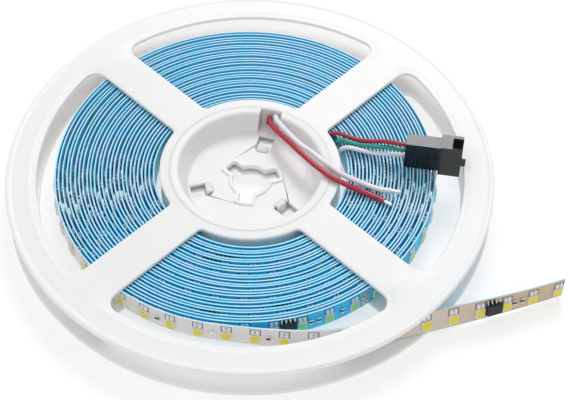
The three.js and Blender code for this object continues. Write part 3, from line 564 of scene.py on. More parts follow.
class StripPath:
    """The strip's middle line, by length from its inner end."""

    def __init__(self, strip, reel):
        self.strip = strip
        self.growth = strip.pitch / TURN
        self.spiral = strip.inner_radius * strip.sweep + self.growth * strip.sweep ** 2 / 2
        leave_turn = strip.start_turn + strip.sweep
        outer = strip.inner_radius + self.growth * strip.sweep
        leave, away = polar(outer, leave_turn) + np.array(strip.shift), polar(1, leave_turn + math.pi / 2)
        exit_point = polar(reel.flange_radius, strip.exit_turn)
        out, last = polar(1, strip.exit_heading), polar(1, strip.end_heading)
        end = exit_point + strip.reach * polar(1, (strip.exit_heading + strip.end_heading) / 2)
        sweep = bezier(leave, leave + strip.sweep_handle * away, exit_point - strip.sweep_handle * out, exit_point, 600)
        run = bezier(exit_point, exit_point + strip.reach / 3 * out, end - strip.reach / 3 * last, end, 300)
        self.tail_points = np.concatenate([sweep, run[1:]])
        steps = np.linalg.norm(np.diff(self.tail_points, axis=0), axis=1)
        self.tail_lengths = np.concatenate([[0], np.cumsum(steps)])
        self.to_rim = self.tail_lengths[len(sweep) - 1]
        self.tail = self.tail_lengths[-1]
        self.total = self.spiral + self.tail
        self.counts = np.array([-10.0, *SLIP_SPAN, 2000])
        self.backs = self.counts * strip.led_pitch - np.array([0, 0, strip.slip, strip.slip])

    def length_at(self, counts):
        """Length at some counts of LED pitches back from the last LED, less a slip taken up on the outer turn."""
        return self.total - self.strip.end_margin - np.interp(counts, self.counts, self.backs)

    def count_at(self, lengths):
        """Counts of LED pitches back from the last LED at some lengths."""
        return np.interp(self.total - self.strip.end_margin - lengths, self.backs, self.counts)

    def tail_at(self, run):
        """Flat points of the tail's middle line at some lengths from its start."""
        return np.stack([np.interp(run, self.tail_lengths, column) for column in self.tail_points.T], axis=-1)

    def frames(self, lengths):
        """Foot, tangent, outward normal and upward edge of the strip at some lengths.

        On the roll, the angle a at a length s solves s = r a + g a^2 / 2 for a spiral whose radius grows by g
        per radian, and the radius wanders by three slow sines. On the tail, the lean is its middle value times
        the squared sine of pi times the share of the tail.
        """
        strip = self.strip
        lengths = np.asarray(lengths, float)
        wound = np.clip(lengths, 0, self.spiral)
        turned = (np.sqrt(strip.inner_radius ** 2 + 2 * self.growth * wound) - strip.inner_radius) / self.growth
        angle = strip.start_turn + turned
        settle = np.clip((strip.sweep - turned) / TURN, 0, 1) * np.clip(turned / TURN, 0, 1)
        wander = settle * sum(height * np.sin(waves * turned + start) for height, waves, start in WANDER)
        flat = polar(strip.inner_radius + self.growth * turned + wander, angle)
        flat += (turned / strip.sweep)[:, None] * np.array(strip.shift)
        run = np.clip(lengths - self.spiral, 0, self.tail)
        on_tail = lengths > self.spiral
        along = self.tail_at(run + HEADING_STEP) - self.tail_at(run - HEADING_STEP)
        heading = np.where(on_tail, np.arctan2(along[:, 1], along[:, 0]), angle + math.pi / 2)
        flat = np.where(on_tail[:, None], self.tail_at(run), flat)
        lean = np.where(on_tail, strip.lean * np.sin(math.pi * run / self.tail) ** 2, 0)
        past = np.clip((run - self.to_rim) / (self.tail - self.to_rim), 0, 1)
        height = strip.rest_height + LEAN_RISE * np.sin(lean) + (strip.end_lift - strip.rest_height) * past
        zero = np.zeros_like(lean)
        tangent = np.stack([np.cos(heading), np.sin(heading), zero], axis=-1)
        side = np.stack([np.sin(heading), -np.cos(heading), zero], axis=-1)
        upright = np.array([0, 0, 1.0])
        normal = side * np.cos(lean)[:, None] + upright * np.sin(lean)[:, None]
        up = upright * np.cos(lean)[:, None] - side * np.sin(lean)[:, None]
        return np.concatenate([flat, height[:, None]], axis=-1), tangent, normal, up


def strip_band(path):
    """The strip as a band: a section of board and liner carried along the middle line.

    A section point lies at foot + out * normal + rise * up. The UV map runs along the strip in LED pitches
    and across it from 0 to 1.
    """
    strip = path.strip
    wound = np.linspace(0, path.spiral, 3600)
    loose = np.linspace(path.spiral, path.total, 160)[1:]
    lengths = np.concatenate([wound, loose])
    foot, _, normal, up = path.frames(lengths)
    board, liner, width, cut = strip.board, strip.liner, strip.width, 0.00005
    split = (board - liner) / 2
    section = np.array([(board, cut), (board, width - cut), (board - cut, width), (split, width), (split, width),
                        (-liner, width), (-liner, 0.0), (split, 0.0), (split, 0.0), (board - cut, 0.0)])
    grid = foot[:, None] + section[None, :, :1] * normal[:, None] + section[None, :, 1:] * up[:, None]
    uv = np.stack(np.broadcast_arrays(path.count_at(lengths)[:, None], section[None, :, 1] / width), axis=-1)
    points, quads = lattice(grid, wrap_columns=True)
    side_of = np.array([0, 0, 1, 1, 2, 2, 2, 2, 1, 1])
    slots = np.tile(side_of, len(lengths) - 1)
    cap = np.array([[0, 1, 2, 3], [0, 3, 7, 9], [3, 5, 6, 7]])
    ends = np.concatenate([cap, cap + (len(lengths) - 1) * len(section)])
    return points, np.concatenate([quads, ends]), np.concatenate([slots, [1] * len(ends)]), uv.reshape(-1, 2)


def placed(path, counts, rise, template):
    """A template's points at places counted in LED pitches back from the last LED.

    The template's x runs along the strip, its y across it and its z out of its face.
    """
    foot, tangent, normal, up = path.frames(path.length_at(np.asarray(counts, float)))
    origin = foot + rise * up + path.strip.board * normal
    basis = np.stack([tangent, up, normal], axis=1)
    return origin[:, None] + np.einsum("pk,nkd->npd", template, basis)


def copies_piece(name, copies, quads, face_slots, slot, materials):
    """A mesh piece of a template's copies. The face slots are the template's, or a row of them for each copy."""
    starts = np.arange(len(copies))[:, None, None] * copies.shape[1]
    every_slot = np.broadcast_to(face_slots, (len(copies), len(quads))).ravel()
    return mesh_piece(name, copies.reshape(-1, 3), (quads + starts).reshape(-1, 4), slot, materials, every_slot)


def stacked_loops(loops):
    """Rounded boxes: rectangular loops (half length, half height, corner, z) one above another, capped at both ends.

    A loop has eight points, two for each corner, cut across by the corner's size.
    """
    rings = []
    for x, y, cut, z in loops:
        rings.append([(x, -y + cut, z), (x, y - cut, z), (x - cut, y, z), (-x + cut, y, z),
                      (-x, y - cut, z), (-x, -y + cut, z), (-x + cut, -y, z), (x - cut, -y, z)])
    points, quads = lattice(np.array(rings, float), wrap_columns=True)
    caps = np.array([[0, 1, 2, 3], [0, 3, 4, 7], [4, 5, 6, 7]])
    return points, np.concatenate([quads, caps, caps + 8 * (len(loops) - 1)])


def plate(x, y, cut, low, high):
    """A plate with cut corners between two heights, from its half length and half height."""
    return stacked_loops([(x, y, cut, low), (x, y, cut, high)])


def assembled(*parts):
    """Shells, each moved by x and y and with the number of its material, as points, quads and face slots."""
    points, quads = joined([(points + np.array([x, y, 0]), quads) for (points, quads), x, y, _ in parts])
    return points, quads, np.concatenate([np.full(len(shell[1]), slot) for shell, _, _, slot in parts])


def led_template():
    """An LED package: a white body with chamfered corners and a shallow cup with a yellow window."""
    points, quads = stacked_loops([
        (0.0014, 0.00175, 0.00005, 0.0), (0.0014, 0.00175, 0.00005, 0.00058), (0.00136, 0.00171, 0.0001, 0.00066),
        (0.00128, 0.00163, 0.0002, 0.00066), (0.00124, 0.00159, 0.0002, 0.00062)])
    slots = np.zeros(len(quads), int)
    slots[-3:] = 1
    return points, quads, slots


def pad_template():
    """Solder round an LED package: a fillet below it and two raised pads above it."""
    fillet = stacked_loops([(0.0009, 0.00024, 0.0001, 0.0), (0.0008, 0.00014, 0.00008, 0.00016)])
    pad = stacked_loops([(0.00047, 0.00085, 0.0001, 0.0), (0.00042, 0.0008, 0.0001, 0.00038)])
    return assembled((fillet, 0, -0.00192, 0), *[(pad, side * 0.00062, 0.00292, 0) for side in (-1, 1)])


def cut_pads_template():
    """Six copper pads, three on either side of a line where the strip may be cut."""
    pad = plate(0.0006, 0.0006, 0.0001, 0.0, 0.00007)
    return assembled(*[(pad, x, y, 0) for x in (-0.00085, 0.00085) for y in (-0.0022, 0, 0.0022)])


def chip_template():
    """A driver chip: a bevelled black body with four bent legs on each side, over dark pad fields."""
    body = stacked_loops([
        (0.0024, 0.00186, 0.00004, 0.00012), (0.00245, 0.00195, 0.00004, 0.0006), (0.00236, 0.00184, 0.00006, 0.00145)])
    foot = plate(0.00021, 0.0003, 0.00004, 0.00002, 0.0002)
    knee = plate(0.00021, 0.00026, 0.00004, 0.0001, 0.00062)
    pad = plate(0.00033, 0.0004, 0.00002, 0.00001, 0.00005)
    field = plate(0.00245, 0.00092, 0.00002, 0.0, 0.00003)
    parts = [(body, 0, 0, 0)]
    for side in (-1, 1):
        for leg in range(4):
            x = (leg - 1.5) * 0.00127
            parts += [(foot, x, side * 0.00262, 1), (knee, x, side * 0.0021, 1), (pad, x, side * 0.00325, 1)]
        parts.append((field, 0, side * 0.00278, 0))
    return assembled(*parts)


def resistor_template():
    """A chip resistor: a dark body between two tinned ends."""
    body = plate(0.0006, 0.00062, 0.00003, 0.0, 0.00046)
    end = plate(0.00062, 0.00022, 0.00003, 0.0, 0.0005)
    return assembled((body, 0, 0, 0), *[(end, 0, side * 0.00078, 1) for side in (-1, 1)])


def capacitor_template():
    """A small round capacitor: sixteen-sided discs one above another."""
    around = np.linspace(0, TURN, 16, endpoint=False)
    rows = [(0.0, 0.0), (0.0007, 0.0), (0.0007, 0.0005), (0.0006, 0.0006), (0.0, 0.0006)]
    grid = np.stack([np.column_stack([polar(radius, around), np.full(16, z)]) for radius, z in rows])
    points, quads = lattice(grid, wrap_columns=True)
    return points, quads, np.zeros(len(quads), int)


# Materials


def fresh_material(name, colour, roughness, metallic=0.0, coat=0.0):
    """A Principled material and its node tree."""
    material = bpy.data.materials.new(name)
    material.use_nodes = True
    shader = material.node_tree.nodes["Principled BSDF"]
    shader.inputs["Base Color"].default_value = (*colour, 1)
    shader.inputs["Roughness"].default_value = roughness
    shader.inputs["Metallic"].default_value = metallic
    shader.inputs["Coat Weight"].default_value = coat
    return material, material.node_tree, shader


def noise(tree, scale, detail=3.0, roughness=0.5):
    """A noise texture on object coordinates."""
    place = tree.nodes.new("ShaderNodeTexCoord")
    texture = tree.nodes.new("ShaderNodeTexNoise")
    texture.inputs["Scale"].default_value = scale
    texture.inputs["Detail"].default_value = detail
    texture.inputs["Roughness"].default_value = roughness
    tree.links.new(place.outputs["Object"], texture.inputs["Vector"])
    return texture.outputs["Fac"]


def spread(tree, value, low, high, start=0.0, stop=1.0):
    """A value that runs from start to stop, spread between two numbers."""
    node = tree.nodes.new("ShaderNodeMapRange")
    node.inputs["From Min"].default_value = start
    node.inputs["From Max"].default_value = stop
    node.inputs["To Min"].default_value = low
    node.inputs["To Max"].default_value = high
    tree.links.new(value, node.inputs["Value"])
    return node.outputs["Result"]


def maths(tree, operation, first, second=None):
    """One or two values, numbers or sockets, put through an operation."""
    node = tree.nodes.new("ShaderNodeMath")
    node.operation = operation
    for socket, value in zip(node.inputs, (first, second)):
        if isinstance(value, (int, float)):
            socket.default_value = value
        elif value is not None:
            tree.links.new(value, socket)
    return node.outputs[0]


def mixed(tree, factor, first, second):
    """Two colours, plain ones or sockets, mixed by a factor."""
    node = tree.nodes.new("ShaderNodeMix")
    node.data_type = "RGBA"
    tree.links.new(factor, node.inputs["Factor"])
    for name, value in (("A", first), ("B", second)):
        if isinstance(value, bpy.types.NodeSocket):
            tree.links.new(value, node.inputs[name])
        else:
            node.inputs[name].default_value = (*value, 1)
    return node.outputs["Result"]


def strip_place(tree):
    """The two values of the strip's UV map: LEDs from the last one, and the share of the width."""
    where = tree.nodes.new("ShaderNodeUVMap")
    where.uv_map = "strip"
    split = tree.nodes.new("ShaderNodeSeparateXYZ")
    tree.links.new(where.outputs["UV"], split.inputs["Vector"])
    return split.outputs["X"], split.outputs["Y"]


def bump(tree, shader, height, strength, distance):
    """A bump from a height value."""
    node = tree.nodes.new("ShaderNodeBump")
    node.inputs["Strength"].default_value = strength
    node.inputs["Distance"].default_value = distance
    tree.links.new(height, node.inputs["Height"])
    tree.links.new(node.outputs["Normal"], shader.inputs["Normal"])


def moulded_plastic(name, colour, roughness, grain, coat=0.0, subsurface=0.0):
    """Moulded plastic: a slight change of colour and gloss, and a fine grain."""
    material, tree, shader = fresh_material(name, colour, roughness, coat=coat)
    shades = mixed(tree, noise(tree, 35, 2), [0.97 * c for c in colour], colour)
    tree.links.new(shades, shader.inputs["Base Color"])
    tree.links.new(spread(tree, noise(tree, 260), roughness - 0.05, roughness + 0.07), shader.inputs["Roughness"])
    bump(tree, shader, noise(tree, grain), 0.12, 0.00005)
    if subsurface:
        shader.inputs["Subsurface Weight"].default_value = subsurface
        shader.inputs["Subsurface Radius"].default_value = (1, 1, 1)
        shader.inputs["Subsurface Scale"].default_value = 0.0015
    return material


def board_face(colours):
    """The strip's LED side: warm on the tail, pale on the outermost turn, and painted blue further in, where the
    liner's blue light is painted into the white mask; with pad outlines.

    The UV map's x counts LEDs from the last one, y is the share of the strip's width. An outline lies where
    the larger of |x - nearest LED| / 0.19 and |y - 0.77| / 0.17 is between 0.84 and 1.
    """
    material, tree, shader = fresh_material("solder_mask_and_painted_liner_light", colours.board, 0.5)
    along, across = strip_place(tree)
    off_led = maths(tree, "ABSOLUTE", maths(tree, "SUBTRACT", along, maths(tree, "ROUND", along)))
    aside = maths(tree, "DIVIDE", off_led, 0.19)
    above = maths(tree, "DIVIDE", maths(tree, "ABSOLUTE", maths(tree, "SUBTRACT", across, 0.77)), 0.17)
    reach = maths(tree, "MAXIMUM", aside, above)
    within_frame = maths(tree, "LESS_THAN", reach, 1.0)
    outline = maths(tree, "MULTIPLY", maths(tree, "GREATER_THAN", reach, 0.84), within_frame)
    inner_bar = maths(tree, "MULTIPLY", maths(tree, "LESS_THAN", aside, 0.62), maths(tree, "LESS_THAN", above, 0.3))
    marked = maths(tree, "MAXIMUM", outline, maths(tree, "MULTIPLY", inner_bar, 0.7))
    face = mixed(tree, spread(tree, along, 0, 1, *WARM_END), colours.tail, colours.board)
    # Painted light: further in than the outermost turn, the white mask is painted blue for the liner's blue light
    face = mixed(tree, spread(tree, along, 0, 1, *OUTER_END), face, colours.wound)
    soft = mixed(tree, spread(tree, noise(tree, 60, 2), 0, 0.1), face, colours.marks)
    tree.links.new(mixed(tree, marked, soft, colours.marks), shader.inputs["Base Color"])
    bump(tree, shader, noise(tree, 1500), 0.12, 0.00005)
    return material


def patchy_edge(colours):
    """The strip's upper edge, warm on the tail, then with the liner's cyan and the board's pale core in turns."""
    material, tree, shader = fresh_material("board_edge", colours.edge, 0.5)
    patches = mixed(tree, spread(tree, noise(tree, 170, 2), 0, 1, 0.42, 0.62), colours.edge, colours.edge_pale)
    inward = spread(tree, strip_place(tree)[0], 0, 1, *EDGE_WARM_END)
    tree.links.new(mixed(tree, inward, colours.tail, patches), shader.inputs["Base Color"])
    return material


def tinned_metal(name, colour, roughness):
    """Bright tin with a patchy gloss."""
    material, tree, shader = fresh_material(name, colour, roughness, metallic=1.0)
    tree.links.new(spread(tree, noise(tree, 1500), roughness - 0.1, roughness + 0.15), shader.inputs["Roughness"])
    bump(tree, shader, noise(tree, 2200), 0.25, 0.00004)
    return material


# Operators


def scene_sizes():
    """The property groups of the scene."""
    scene = bpy.context.scene
    return scene.strip_reel, scene.strip_band, scene.strip_wires, scene.strip_colours, scene.strip_stage


def catmull_rom(points, count=12):
    """A centripetal Catmull-Rom curve through points, as the CAD's wires follow, with count steps for each span.

    Each span is the cubic whose end slopes are weighted by the square roots of the neighbouring distances.
    """
    points = np.asarray(points, float)
    padded = np.concatenate([2 * points[:1] - points[1:2], points, 2 * points[-1:] - points[-2:-1]])
    gaps = np.sum(np.diff(padded, axis=0) ** 2, axis=1)[:, None] ** 0.25
    p0, p1, p2, p3 = padded[:-3], padded[1:-2], padded[2:-1], padded[3:]
    d0, d1, d2 = gaps[:-2], gaps[1:-1], gaps[2:]
    m1 = ((p1 - p0) / d0 - (p2 - p0) / (d0 + d1) + (p2 - p1) / d1) * d1
    m2 = ((p2 - p1) / d1 - (p3 - p1) / (d1 + d2) + (p3 - p2) / d2) * d1
    t = np.linspace(0, 1, count, endpoint=False)[:, None, None]
    curve = (p1 + m1 * t + (3 * (p2 - p1) - 2 * m1 - m2) * t ** 2 + (2 * (p1 - p2) + m1 + m2) * t ** 3)
    return np.concatenate([curve.transpose(1, 0, 2).reshape(-1, 3), points[-1:]])


def wire(name, node, route, diameter, material):
    """A wire as a curve with a round bevel, in place of its CAD tube. The route is in millimetres from the axis."""
    line_points = catmull_rom(np.array(route) / 1000) + AXIS
    curve = bpy.data.curves.new(name, "CURVE")
    curve.dimensions = "3D"
    curve.bevel_depth = diameter / 2
    curve.bevel_resolution = 4
    curve.use_fill_caps = True
    spline = curve.splines.new("POLY")
    spline.points.add(len(line_points) - 1)
    spline.points.foreach_set("co", np.column_stack([line_points, np.ones(len(line_points))]).ravel())
    curve.materials.append(material)
    piece = bpy.data.objects.new(name, curve)
    bpy.context.scene.collection.objects.link(piece)
    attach(piece, "root")
    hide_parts(node)
    length = float(np.sum(np.linalg.norm(np.diff(line_points, axis=0), axis=1)))
    return piece, line_points, length


def bare_tip(name, node, line_points, colour):
    """A twisted tinned end: a seven-lobed section that turns as it goes on from a wire's last point."""
    way = line_points[-1] - line_points[-2]
    way /= np.linalg.norm(way)
    side = np.cross(way, [0, 0, 1.0])
    side /= np.linalg.norm(side)
    over = np.cross(side, way)
    start = line_points[-1] - 0.0003 * way
    run = np.linspace(0, 0.003, 26)
    around = np.linspace(0, TURN, 42, endpoint=False)
    narrowed = np.where(run < 0.0029, 1, 0.6)[:, None]
    radius = 0.00047 * (1 + 0.12 * np.cos(7 * around)) * narrowed
    angle = around + 900 * run[:, None]
    grid = (start + run[:, None, None] * way + (radius * np.cos(angle))[..., None] * side +
            (radius * np.sin(angle))[..., None] * over)
    ends = np.broadcast_to(grid[[0, -1]].mean(1, keepdims=True), (2, len(around), 3))
    points, quads = lattice(np.concatenate([ends[:1], grid, ends[1:]]), wrap_columns=True)
    tin = tinned_metal(name + "_tin", colour, 0.35)
    piece = mesh_piece(name, points - AXIS, quads, "tinned_metal", [tin], sharp=60)
    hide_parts(node)
    return piece


LEAD_ROUTES = {
    "white": [
        [7.3, 23.3, 4.6], [7.3, 23.3, 6.6], [7.35, 23, 8.13], [7.45, 22.13, 9.43], [7.6, 20.83, 10.3],
        [7.95, 19.4, 10.8], [9.3, 16.7, 11.4], [12.7, 11.5, 12.1], [15.6, 7.8, 12.4], [19.1, 4.7, 12.5],
        [22, 1.7, 12.4], [25.4, -1.1, 12.25], [27.8, -3.2, 12.15], [30.4, -4.5, 11.7], [35.1, -6.4, 11],
        [39.7, -8.1, 10.7], [43.3, -8.6, 10.7],
    ],
    "red": [
        [5.3, 23.75, 4.6], [5.3, 23.75, 5.3], [5.35, 23.5, 6.75], [5.45, 22.72, 8.03], [5.6, 21.5, 8.88],
        [5.85, 20, 9.3], [6.4, 18.2, 9.75], [7.7, 15.6, 10.4], [10.7, 11.3, 11.4], [14.2, 6.5, 12],
        [17.6, 2.4, 12.2], [20.5, -0.7, 12.15], [23.4, -3.5, 12.2], [26.3, -5.7, 12.2], [29.3, -7.2, 11.75],
        [34.2, -9.2, 10.85], [38.4, -11.2, 10.7], [40.8, -12.7, 10.7],
    ],
}
PLUG_ROUTES = {
    "red": [
        [24.3, 14.95, 2.6], [24.3, 14.95, 6], [24.65, 14.8, 7.7], [25.1, 14.55, 9.4], [25.75, 14.3, 10.6],
        [26.75, 13.85, 11.4], [28.1, 13.25, 11.75], [31.3, 11.7, 11.75], [34.3, 10.2, 12.2],
        [37.6, 8.8, 13.5], [40.6, 7.2, 15.4], [42.6, 5.8, 16.7], [44.6, 4.75, 17.4], [46.3, 4.2, 17.65],
        [48.2, 3.9, 17.65], [50.17, 3.62, 17.65],
    ],
    "green": [
        [25.8, 11.9, 2.6], [25.8, 11.9, 6], [26.2, 11.75, 7.7], [26.65, 11.55, 9.4], [27.3, 11.3, 10.6],
        [28.3, 10.9, 11.4], [29.6, 10.3, 11.75], [31.2, 9.6, 11.85], [33, 8.8, 12.05], [36.2, 7.6, 12.8],
        [39.6, 6.2, 13.9], [42.2, 5.3, 14.75], [44.4, 4.65, 15.1], [46.3, 4.2, 15.15],
        [48.2, 3.9, 15.15], [50.17, 3.62, 15.15],
    ],
    "white": [
        [27, 8.5, 2.6], [27, 8.5, 6], [27.4, 8.4, 7.7], [27.85, 8.3, 9.4], [28.5, 8.15, 10.6],
        [29.5, 7.9, 11.4], [30.9, 7.5, 11.8], [32.8, 7, 11.75], [34.8, 6.5, 11.6], [37, 6, 11.45],
        [39.2, 5.4, 11.75], [41.4, 4.9, 12.2], [43.6, 4.55, 12.55], [45.8, 4.25, 12.65],
        [48, 3.93, 12.65], [50.17, 3.62, 12.65],
    ],
}


class STRIP_REEL_OT_stage(bpy.types.Operator):
    """Makes the camera, the floor, the backdrop light and the lamps"""

    bl_idname = "strip_reel.stage"
    bl_label = "Stage"

    def execute(self, context):
        stage = scene_sizes()[4]
        scene = context.scene
        aim = AXIS + LOOKED_AT
        back = np.array([0, -math.cos(stage.elevation), math.sin(stage.elevation)])
        up = np.array([0, math.sin(stage.elevation), math.cos(stage.elevation)])
        right = np.array([1.0, 0, 0])
        turned_right = math.cos(stage.roll) * right + math.sin(stage.roll) * up
        turned_up = math.cos(stage.roll) * up - math.sin(stage.roll) * right
        camera = bpy.data.objects.new("camera", bpy.data.cameras.new("camera"))
        scene.collection.objects.link(camera)
        camera.data.sensor_width = 36
        camera.data.lens = stage.lens
        camera.data.clip_start = 0.01
        place = np.eye(4)
        place[:3, 0], place[:3, 1], place[:3, 2] = turned_right, turned_up, back
        place[:3, 3] = aim + stage.distance * back
        camera.matrix_world = Matrix(place.tolist())
        scene.camera = camera
        scene.view_settings.view_transform = "Standard"

        world = bpy.data.worlds.new("studio")
        scene.world = world
        world.use_nodes = True
        show_white(world.node_tree, world.node_tree.nodes["Background"], (0.9, 0.9, 0.91), WORLD_LIGHT)

        half = FLOOR_HALF
        mesh = bpy.data.meshes.new("floor")
        mesh.from_pydata([(-half, -half, 0), (half, -half, 0), (half, half, 0), (-half, half, 0)], [], [(0, 1, 2, 3)])
        floor = bpy.data.objects.new("floor", mesh)
        mesh.materials.append(floor_material())
        scene.collection.objects.link(floor)

        lamp("key", (0.08, 0.52, 0.61), 0.3, 2.2)
        lamp("fill", (-0.3, -0.1, 0.8), 0.6, 0.6)
        return {"FINISHED"}


def lamp(name, place, size, power):
    """A square area lamp that faces the reel."""
    light = bpy.data.lights.new(name, "AREA")
    light.shape = "SQUARE"
    light.size = size
    light.energy = power
    lit = bpy.data.objects.new(name, light)
    position = np.array(place)
    back = position / np.linalg.norm(position)
    right = np.cross([0, 0, 1.0], back)
    right /= np.linalg.norm(right)
    matrix = np.eye(4)
    matrix[:3, 0], matrix[:3, 1], matrix[:3, 2], matrix[:3, 3] = right, np.cross(back, right), back, position
    lit.matrix_world = Matrix(matrix.tolist())
    bpy.context.scene.collection.objects.link(lit)


def seen_directly(tree):
    """One where a ray comes from the camera, a reflection or through glass, and nothing for light that falls."""
    path = tree.nodes.new("ShaderNodeLightPath").outputs
    seen = maths(tree, "MAXIMUM", path["Is Camera Ray"], path["Is Glossy Ray"])
    return maths(tree, "MAXIMUM", seen, path["Is Transmission Ray"])


def show_white(tree, background, colour, strength):
    """The world: white where it is seen, and a plain light where it falls on things."""
    background.inputs["Color"].default_value = (*colour, 1)
    background.inputs["Strength"].default_value = strength
    white = tree.nodes.new("ShaderNodeBackground")
    white.inputs["Color"].default_value = (1, 1, 1, 1)
    white.inputs["Strength"].default_value = 1
    mix = tree.nodes.new("ShaderNodeMixShader")
    tree.links.new(seen_directly(tree), mix.inputs["Fac"])
    tree.links.new(background.outputs[0], mix.inputs[1])
    tree.links.new(white.outputs[0], mix.inputs[2])
    tree.links.new(mix.outputs[0], tree.nodes["World Output"].inputs["Surface"])


def floor_material():
    """A pale floor that keeps the reel's shadow and glows a little, as a light table does."""
    material, _, shader = fresh_material("floor", (0.5, 0.5, 0.5), 0.9)
    shader.inputs["Emission Color"].default_value = (1, 1, 1, 1)
    shader.inputs["Emission Strength"].default_value = FLOOR_GLOW
    return material


class STRIP_REEL_OT_wires(bpy.types.Operator):
    """Makes the two power wires, the three plug wires and the bare ends"""

    bl_idname = "strip_reel.wires"
    bl_label = "Wires"

    def execute(self, context):
        _, _, wires, colours, _ = scene_sizes()
        finishes = {
            "red": moulded_plastic("red_insulation", colours.red, 0.26, 900, coat=0.1),
            "green": moulded_plastic("green_insulation", colours.green, 0.26, 900, coat=0.1),
            "white": moulded_plastic("white_insulation", colours.white, 0.28, 900, coat=0.2),
        }
        for colour, route in LEAD_ROUTES.items():
            piece, points, length = wire(f"power_wire_{colour}", f"lead_wire_{colour}", route,
                                         wires.lead_diameter, finishes[colour])
            tip = bare_tip(f"bare_end_{colour}", f"lead_tip_{colour}", points, (0.75, 0.74, 0.72))
        plug = dressed_plug(colours)
        contacts = [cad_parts[f"plug_contact_{way}"] for way in (1, 2, 3)]
        brass = tinned_metal("contact_brass", (0.72, 0.6, 0.35), 0.3)
        for contact in contacts:
            contact.material_slots[0].material = brass
        for colour, route in PLUG_ROUTES.items():
            piece, points, length = wire(f"signal_wire_{colour}", f"plug_wire_{colour}", route,
                                         wires.plug_diameter, finishes[colour])
        return {"FINISHED"}


def dressed_plug(colours):
    """The plug housing: the CAD housing's own form with its corners merged and every edge rounded."""
    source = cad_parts["plug_housing"]
    shaped = bmesh.new()
    shaped.from_mesh(source.data)
    bmesh.ops.remove_doubles(shaped, verts=shaped.verts, dist=1e-6)
    bmesh.ops.dissolve_limit(shaped, angle_limit=0.02, verts=shaped.verts, edges=shaped.edges)
    bmesh.ops.bevel(shaped, geom=shaped.edges, offset=0.00018, segments=2, affect="EDGES", clamp_overlap=True)
    mesh = bpy.data.meshes.new("plug_shell")
    shaped.to_mesh(mesh)
    shaped.free()
    imported_normals = mesh.attributes.get("custom_normal")
    if imported_normals:
        mesh.attributes.remove(imported_normals)
    shade(mesh, 15)
    mesh.materials.append(moulded_plastic("black_nylon", colours.black, 0.2, 1200))
    piece = bpy.data.objects.new("plug_shell", mesh)
    bpy.context.scene.collection.objects.link(piece)
    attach(piece, "root")
    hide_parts("plug_housing")
    return piece


class STRIP_REEL_OT_halves(bpy.types.Operator):
    """Makes the two moulded halves of the reel"""

    bl_idname = "strip_reel.halves"
    bl_label = "Reel halves"

    def execute(self, context):
        reel, _, _, colours, _ = scene_sizes()
        plastic = moulded_plastic("milky_plastic", colours.plastic, 0.4, 700, subsurface=0.5)
        upper = mesh_piece("upper_moulding", *upper_half_shells(reel), "reel_plastic", [plastic])
        lower = mesh_piece("lower_moulding", *lower_half_shells(reel), "reel_plastic", [plastic])
        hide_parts("upper_reel_half")
        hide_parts("lower_reel_half")
        return {"FINISHED"}


class STRIP_REEL_OT_strip(bpy.types.Operator):
    """Makes the wound strip with its liner"""

    bl_idname = "strip_reel.strip"
    bl_label = "Strip"

    def execute(self, context):
        reel, strip, _, colours, _ = scene_sizes()
        path = StripPath(strip, reel)
        points, quads, slots, uv = strip_band(path)
        board = board_face(colours)
        edge = patchy_edge(colours)
        liner = moulded_plastic("blue_liner", colours.liner, 0.35, 1500)
        band = mesh_piece("wound_strip", points, quads, "strip_board", [board, edge, liner], slots, uv, sharp=40)
        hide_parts("led_strip")
        return {"FINISHED"}


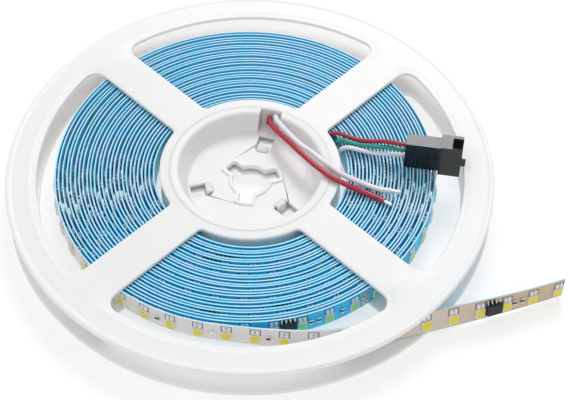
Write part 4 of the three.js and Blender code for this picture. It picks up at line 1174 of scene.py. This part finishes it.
class STRIP_REEL_OT_parts(bpy.types.Operator):
    """Makes the LEDs, chips and small parts along the strip"""

    bl_idname = "strip_reel.parts"
    bl_label = "Strip parts"

    def execute(self, context):
        reel, strip, _, colours, _ = scene_sizes()
        path = StripPath(strip, reel)
        count = int(path.count_at(0.003))
        every = np.arange(count)
        package = moulded_plastic("led_body", colours.package, 0.35, 2500)
        phosphor = moulded_plastic("led_phosphor", colours.phosphor, 0.45, 2500, coat=0.1)
        phosphor_with_painted_light = moulded_plastic("led_phosphor_painted_liner_light", colours.phosphor_painted_liner_light, 0.45, 2500, coat=0.1)
        template, quads, slots = led_template()
        # Painted light: on the first wound turn the phosphor is painted green for the liner's blue light
        on_next_turn = (every > NEXT_TURN[0]) & (every < NEXT_TURN[1])
        slots = np.where(on_next_turn[:, None] & (slots == 1), 2, slots)
        copies = placed(path, every, strip.led_rise, template)
        leds = copies_piece("strip_leds", copies, quads, slots, "led_package", [package, phosphor, phosphor_with_painted_light])
        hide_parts(*[f"tail_led_{i + 1}" for i in range(6)], *[f"front_led_{i + 1}" for i in range(6)])

        solder = moulded_plastic("solder", (0.8, 0.79, 0.8), 0.35, 2500, coat=0.3)
        template, quads, slots = pad_template()
        copies = placed(path, every, strip.led_rise, template)
        copies_piece("led_solder", copies, quads, slots, "tinned_metal", [solder])

        tin = tinned_metal("solder_tin", (0.78, 0.78, 0.78), 0.3)
        black = moulded_plastic("chip_body", colours.black, 0.6, 2500)
        template, quads, slots = chip_template()
        places = np.arange(FIRST_CHIP, count, GROUP)
        copies = placed(path, places, CENTRE_RISE, template)
        copies[1:] = placed(path, places[1:], CENTRE_RISE, template * np.array([1, 1, INNER_CHIP_HEIGHT]))
        piece = copies_piece("strip_chips", copies, quads, slots, "chip_body", [black, tin])
        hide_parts("driver_chip")

        dark = moulded_plastic("resistor_body", (0.02, 0.018, 0.02), 0.4, 2500)
        template, quads, slots = resistor_template()
        places = np.concatenate([[LONE_RESISTOR], *[RESISTORS + start for start in range(0, count - 20, GROUP)]])
        copies = placed(path, places, SMALL_RISE, template)
        piece = copies_piece("strip_resistors", copies, quads, slots, "resistor_body", [dark, tin])
        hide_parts("tail_resistor_1", "tail_resistor_2", "front_resistor_1", "front_resistor_2")

        template, quads, slots = capacitor_template()
        copies = placed(path, np.arange(FIRST_CAPACITOR, count, GROUP), SMALL_RISE, template)
        piece = copies_piece("strip_capacitor", copies, quads, slots, "tinned_metal", [tin])
        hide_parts("front_capacitor")

        copper = tinned_metal("copper", (0.9, 0.42, 0.22), 0.35)
        template, quads, slots = cut_pads_template()
        copies = placed(path, np.arange(FIRST_CUT, count, GROUP), CENTRE_RISE, template)
        copies_piece("cut_pads", copies, quads, slots, "contact_metal", [copper])
        return {"FINISHED"}


class STRIP_REEL_PT_panel(bpy.types.Panel):
    """Lists the sizes, the colours and the pieces"""

    bl_label = "Strip Reel"
    bl_idname = "STRIP_REEL_PT_panel"
    bl_space_type = "VIEW_3D"
    bl_region_type = "UI"
    bl_category = "Strip Reel"

    def draw(self, context):
        for operator in OPERATORS:
            self.layout.operator(operator.bl_idname)
        for group in scene_sizes():
            box = self.layout.box()
            for name in group.__annotations__:
                box.prop(group, name)


GROUPS = {
    "strip_reel": ReelSizes,
    "strip_band": StripSizes,
    "strip_wires": WireSizes,
    "strip_colours": ReelColours,
    "strip_stage": StageSettings,
}
OPERATORS = (
    STRIP_REEL_OT_stage,
    STRIP_REEL_OT_wires,
    STRIP_REEL_OT_halves,
    STRIP_REEL_OT_strip,
    STRIP_REEL_OT_parts,
)


def register():
    """Registers the classes and puts the property groups on the scene."""
    for part in (*GROUPS.values(), *OPERATORS, STRIP_REEL_PT_panel):
        bpy.utils.register_class(part)
    for name, group in GROUPS.items():
        setattr(bpy.types.Scene, name, PointerProperty(type=group))


def unregister():
    """Takes the property groups off the scene and unregisters the classes."""
    for name in GROUPS:
        delattr(bpy.types.Scene, name)
    for part in (STRIP_REEL_PT_panel, *reversed(OPERATORS), *GROUPS.values()):
        bpy.utils.unregister_class(part)


def main():
    register()
    bpy.ops.strip_reel.stage()
    bpy.ops.strip_reel.wires()
    bpy.ops.strip_reel.halves()
    bpy.ops.strip_reel.strip()
    bpy.ops.strip_reel.parts()


if __name__ == "__main__":
    main()
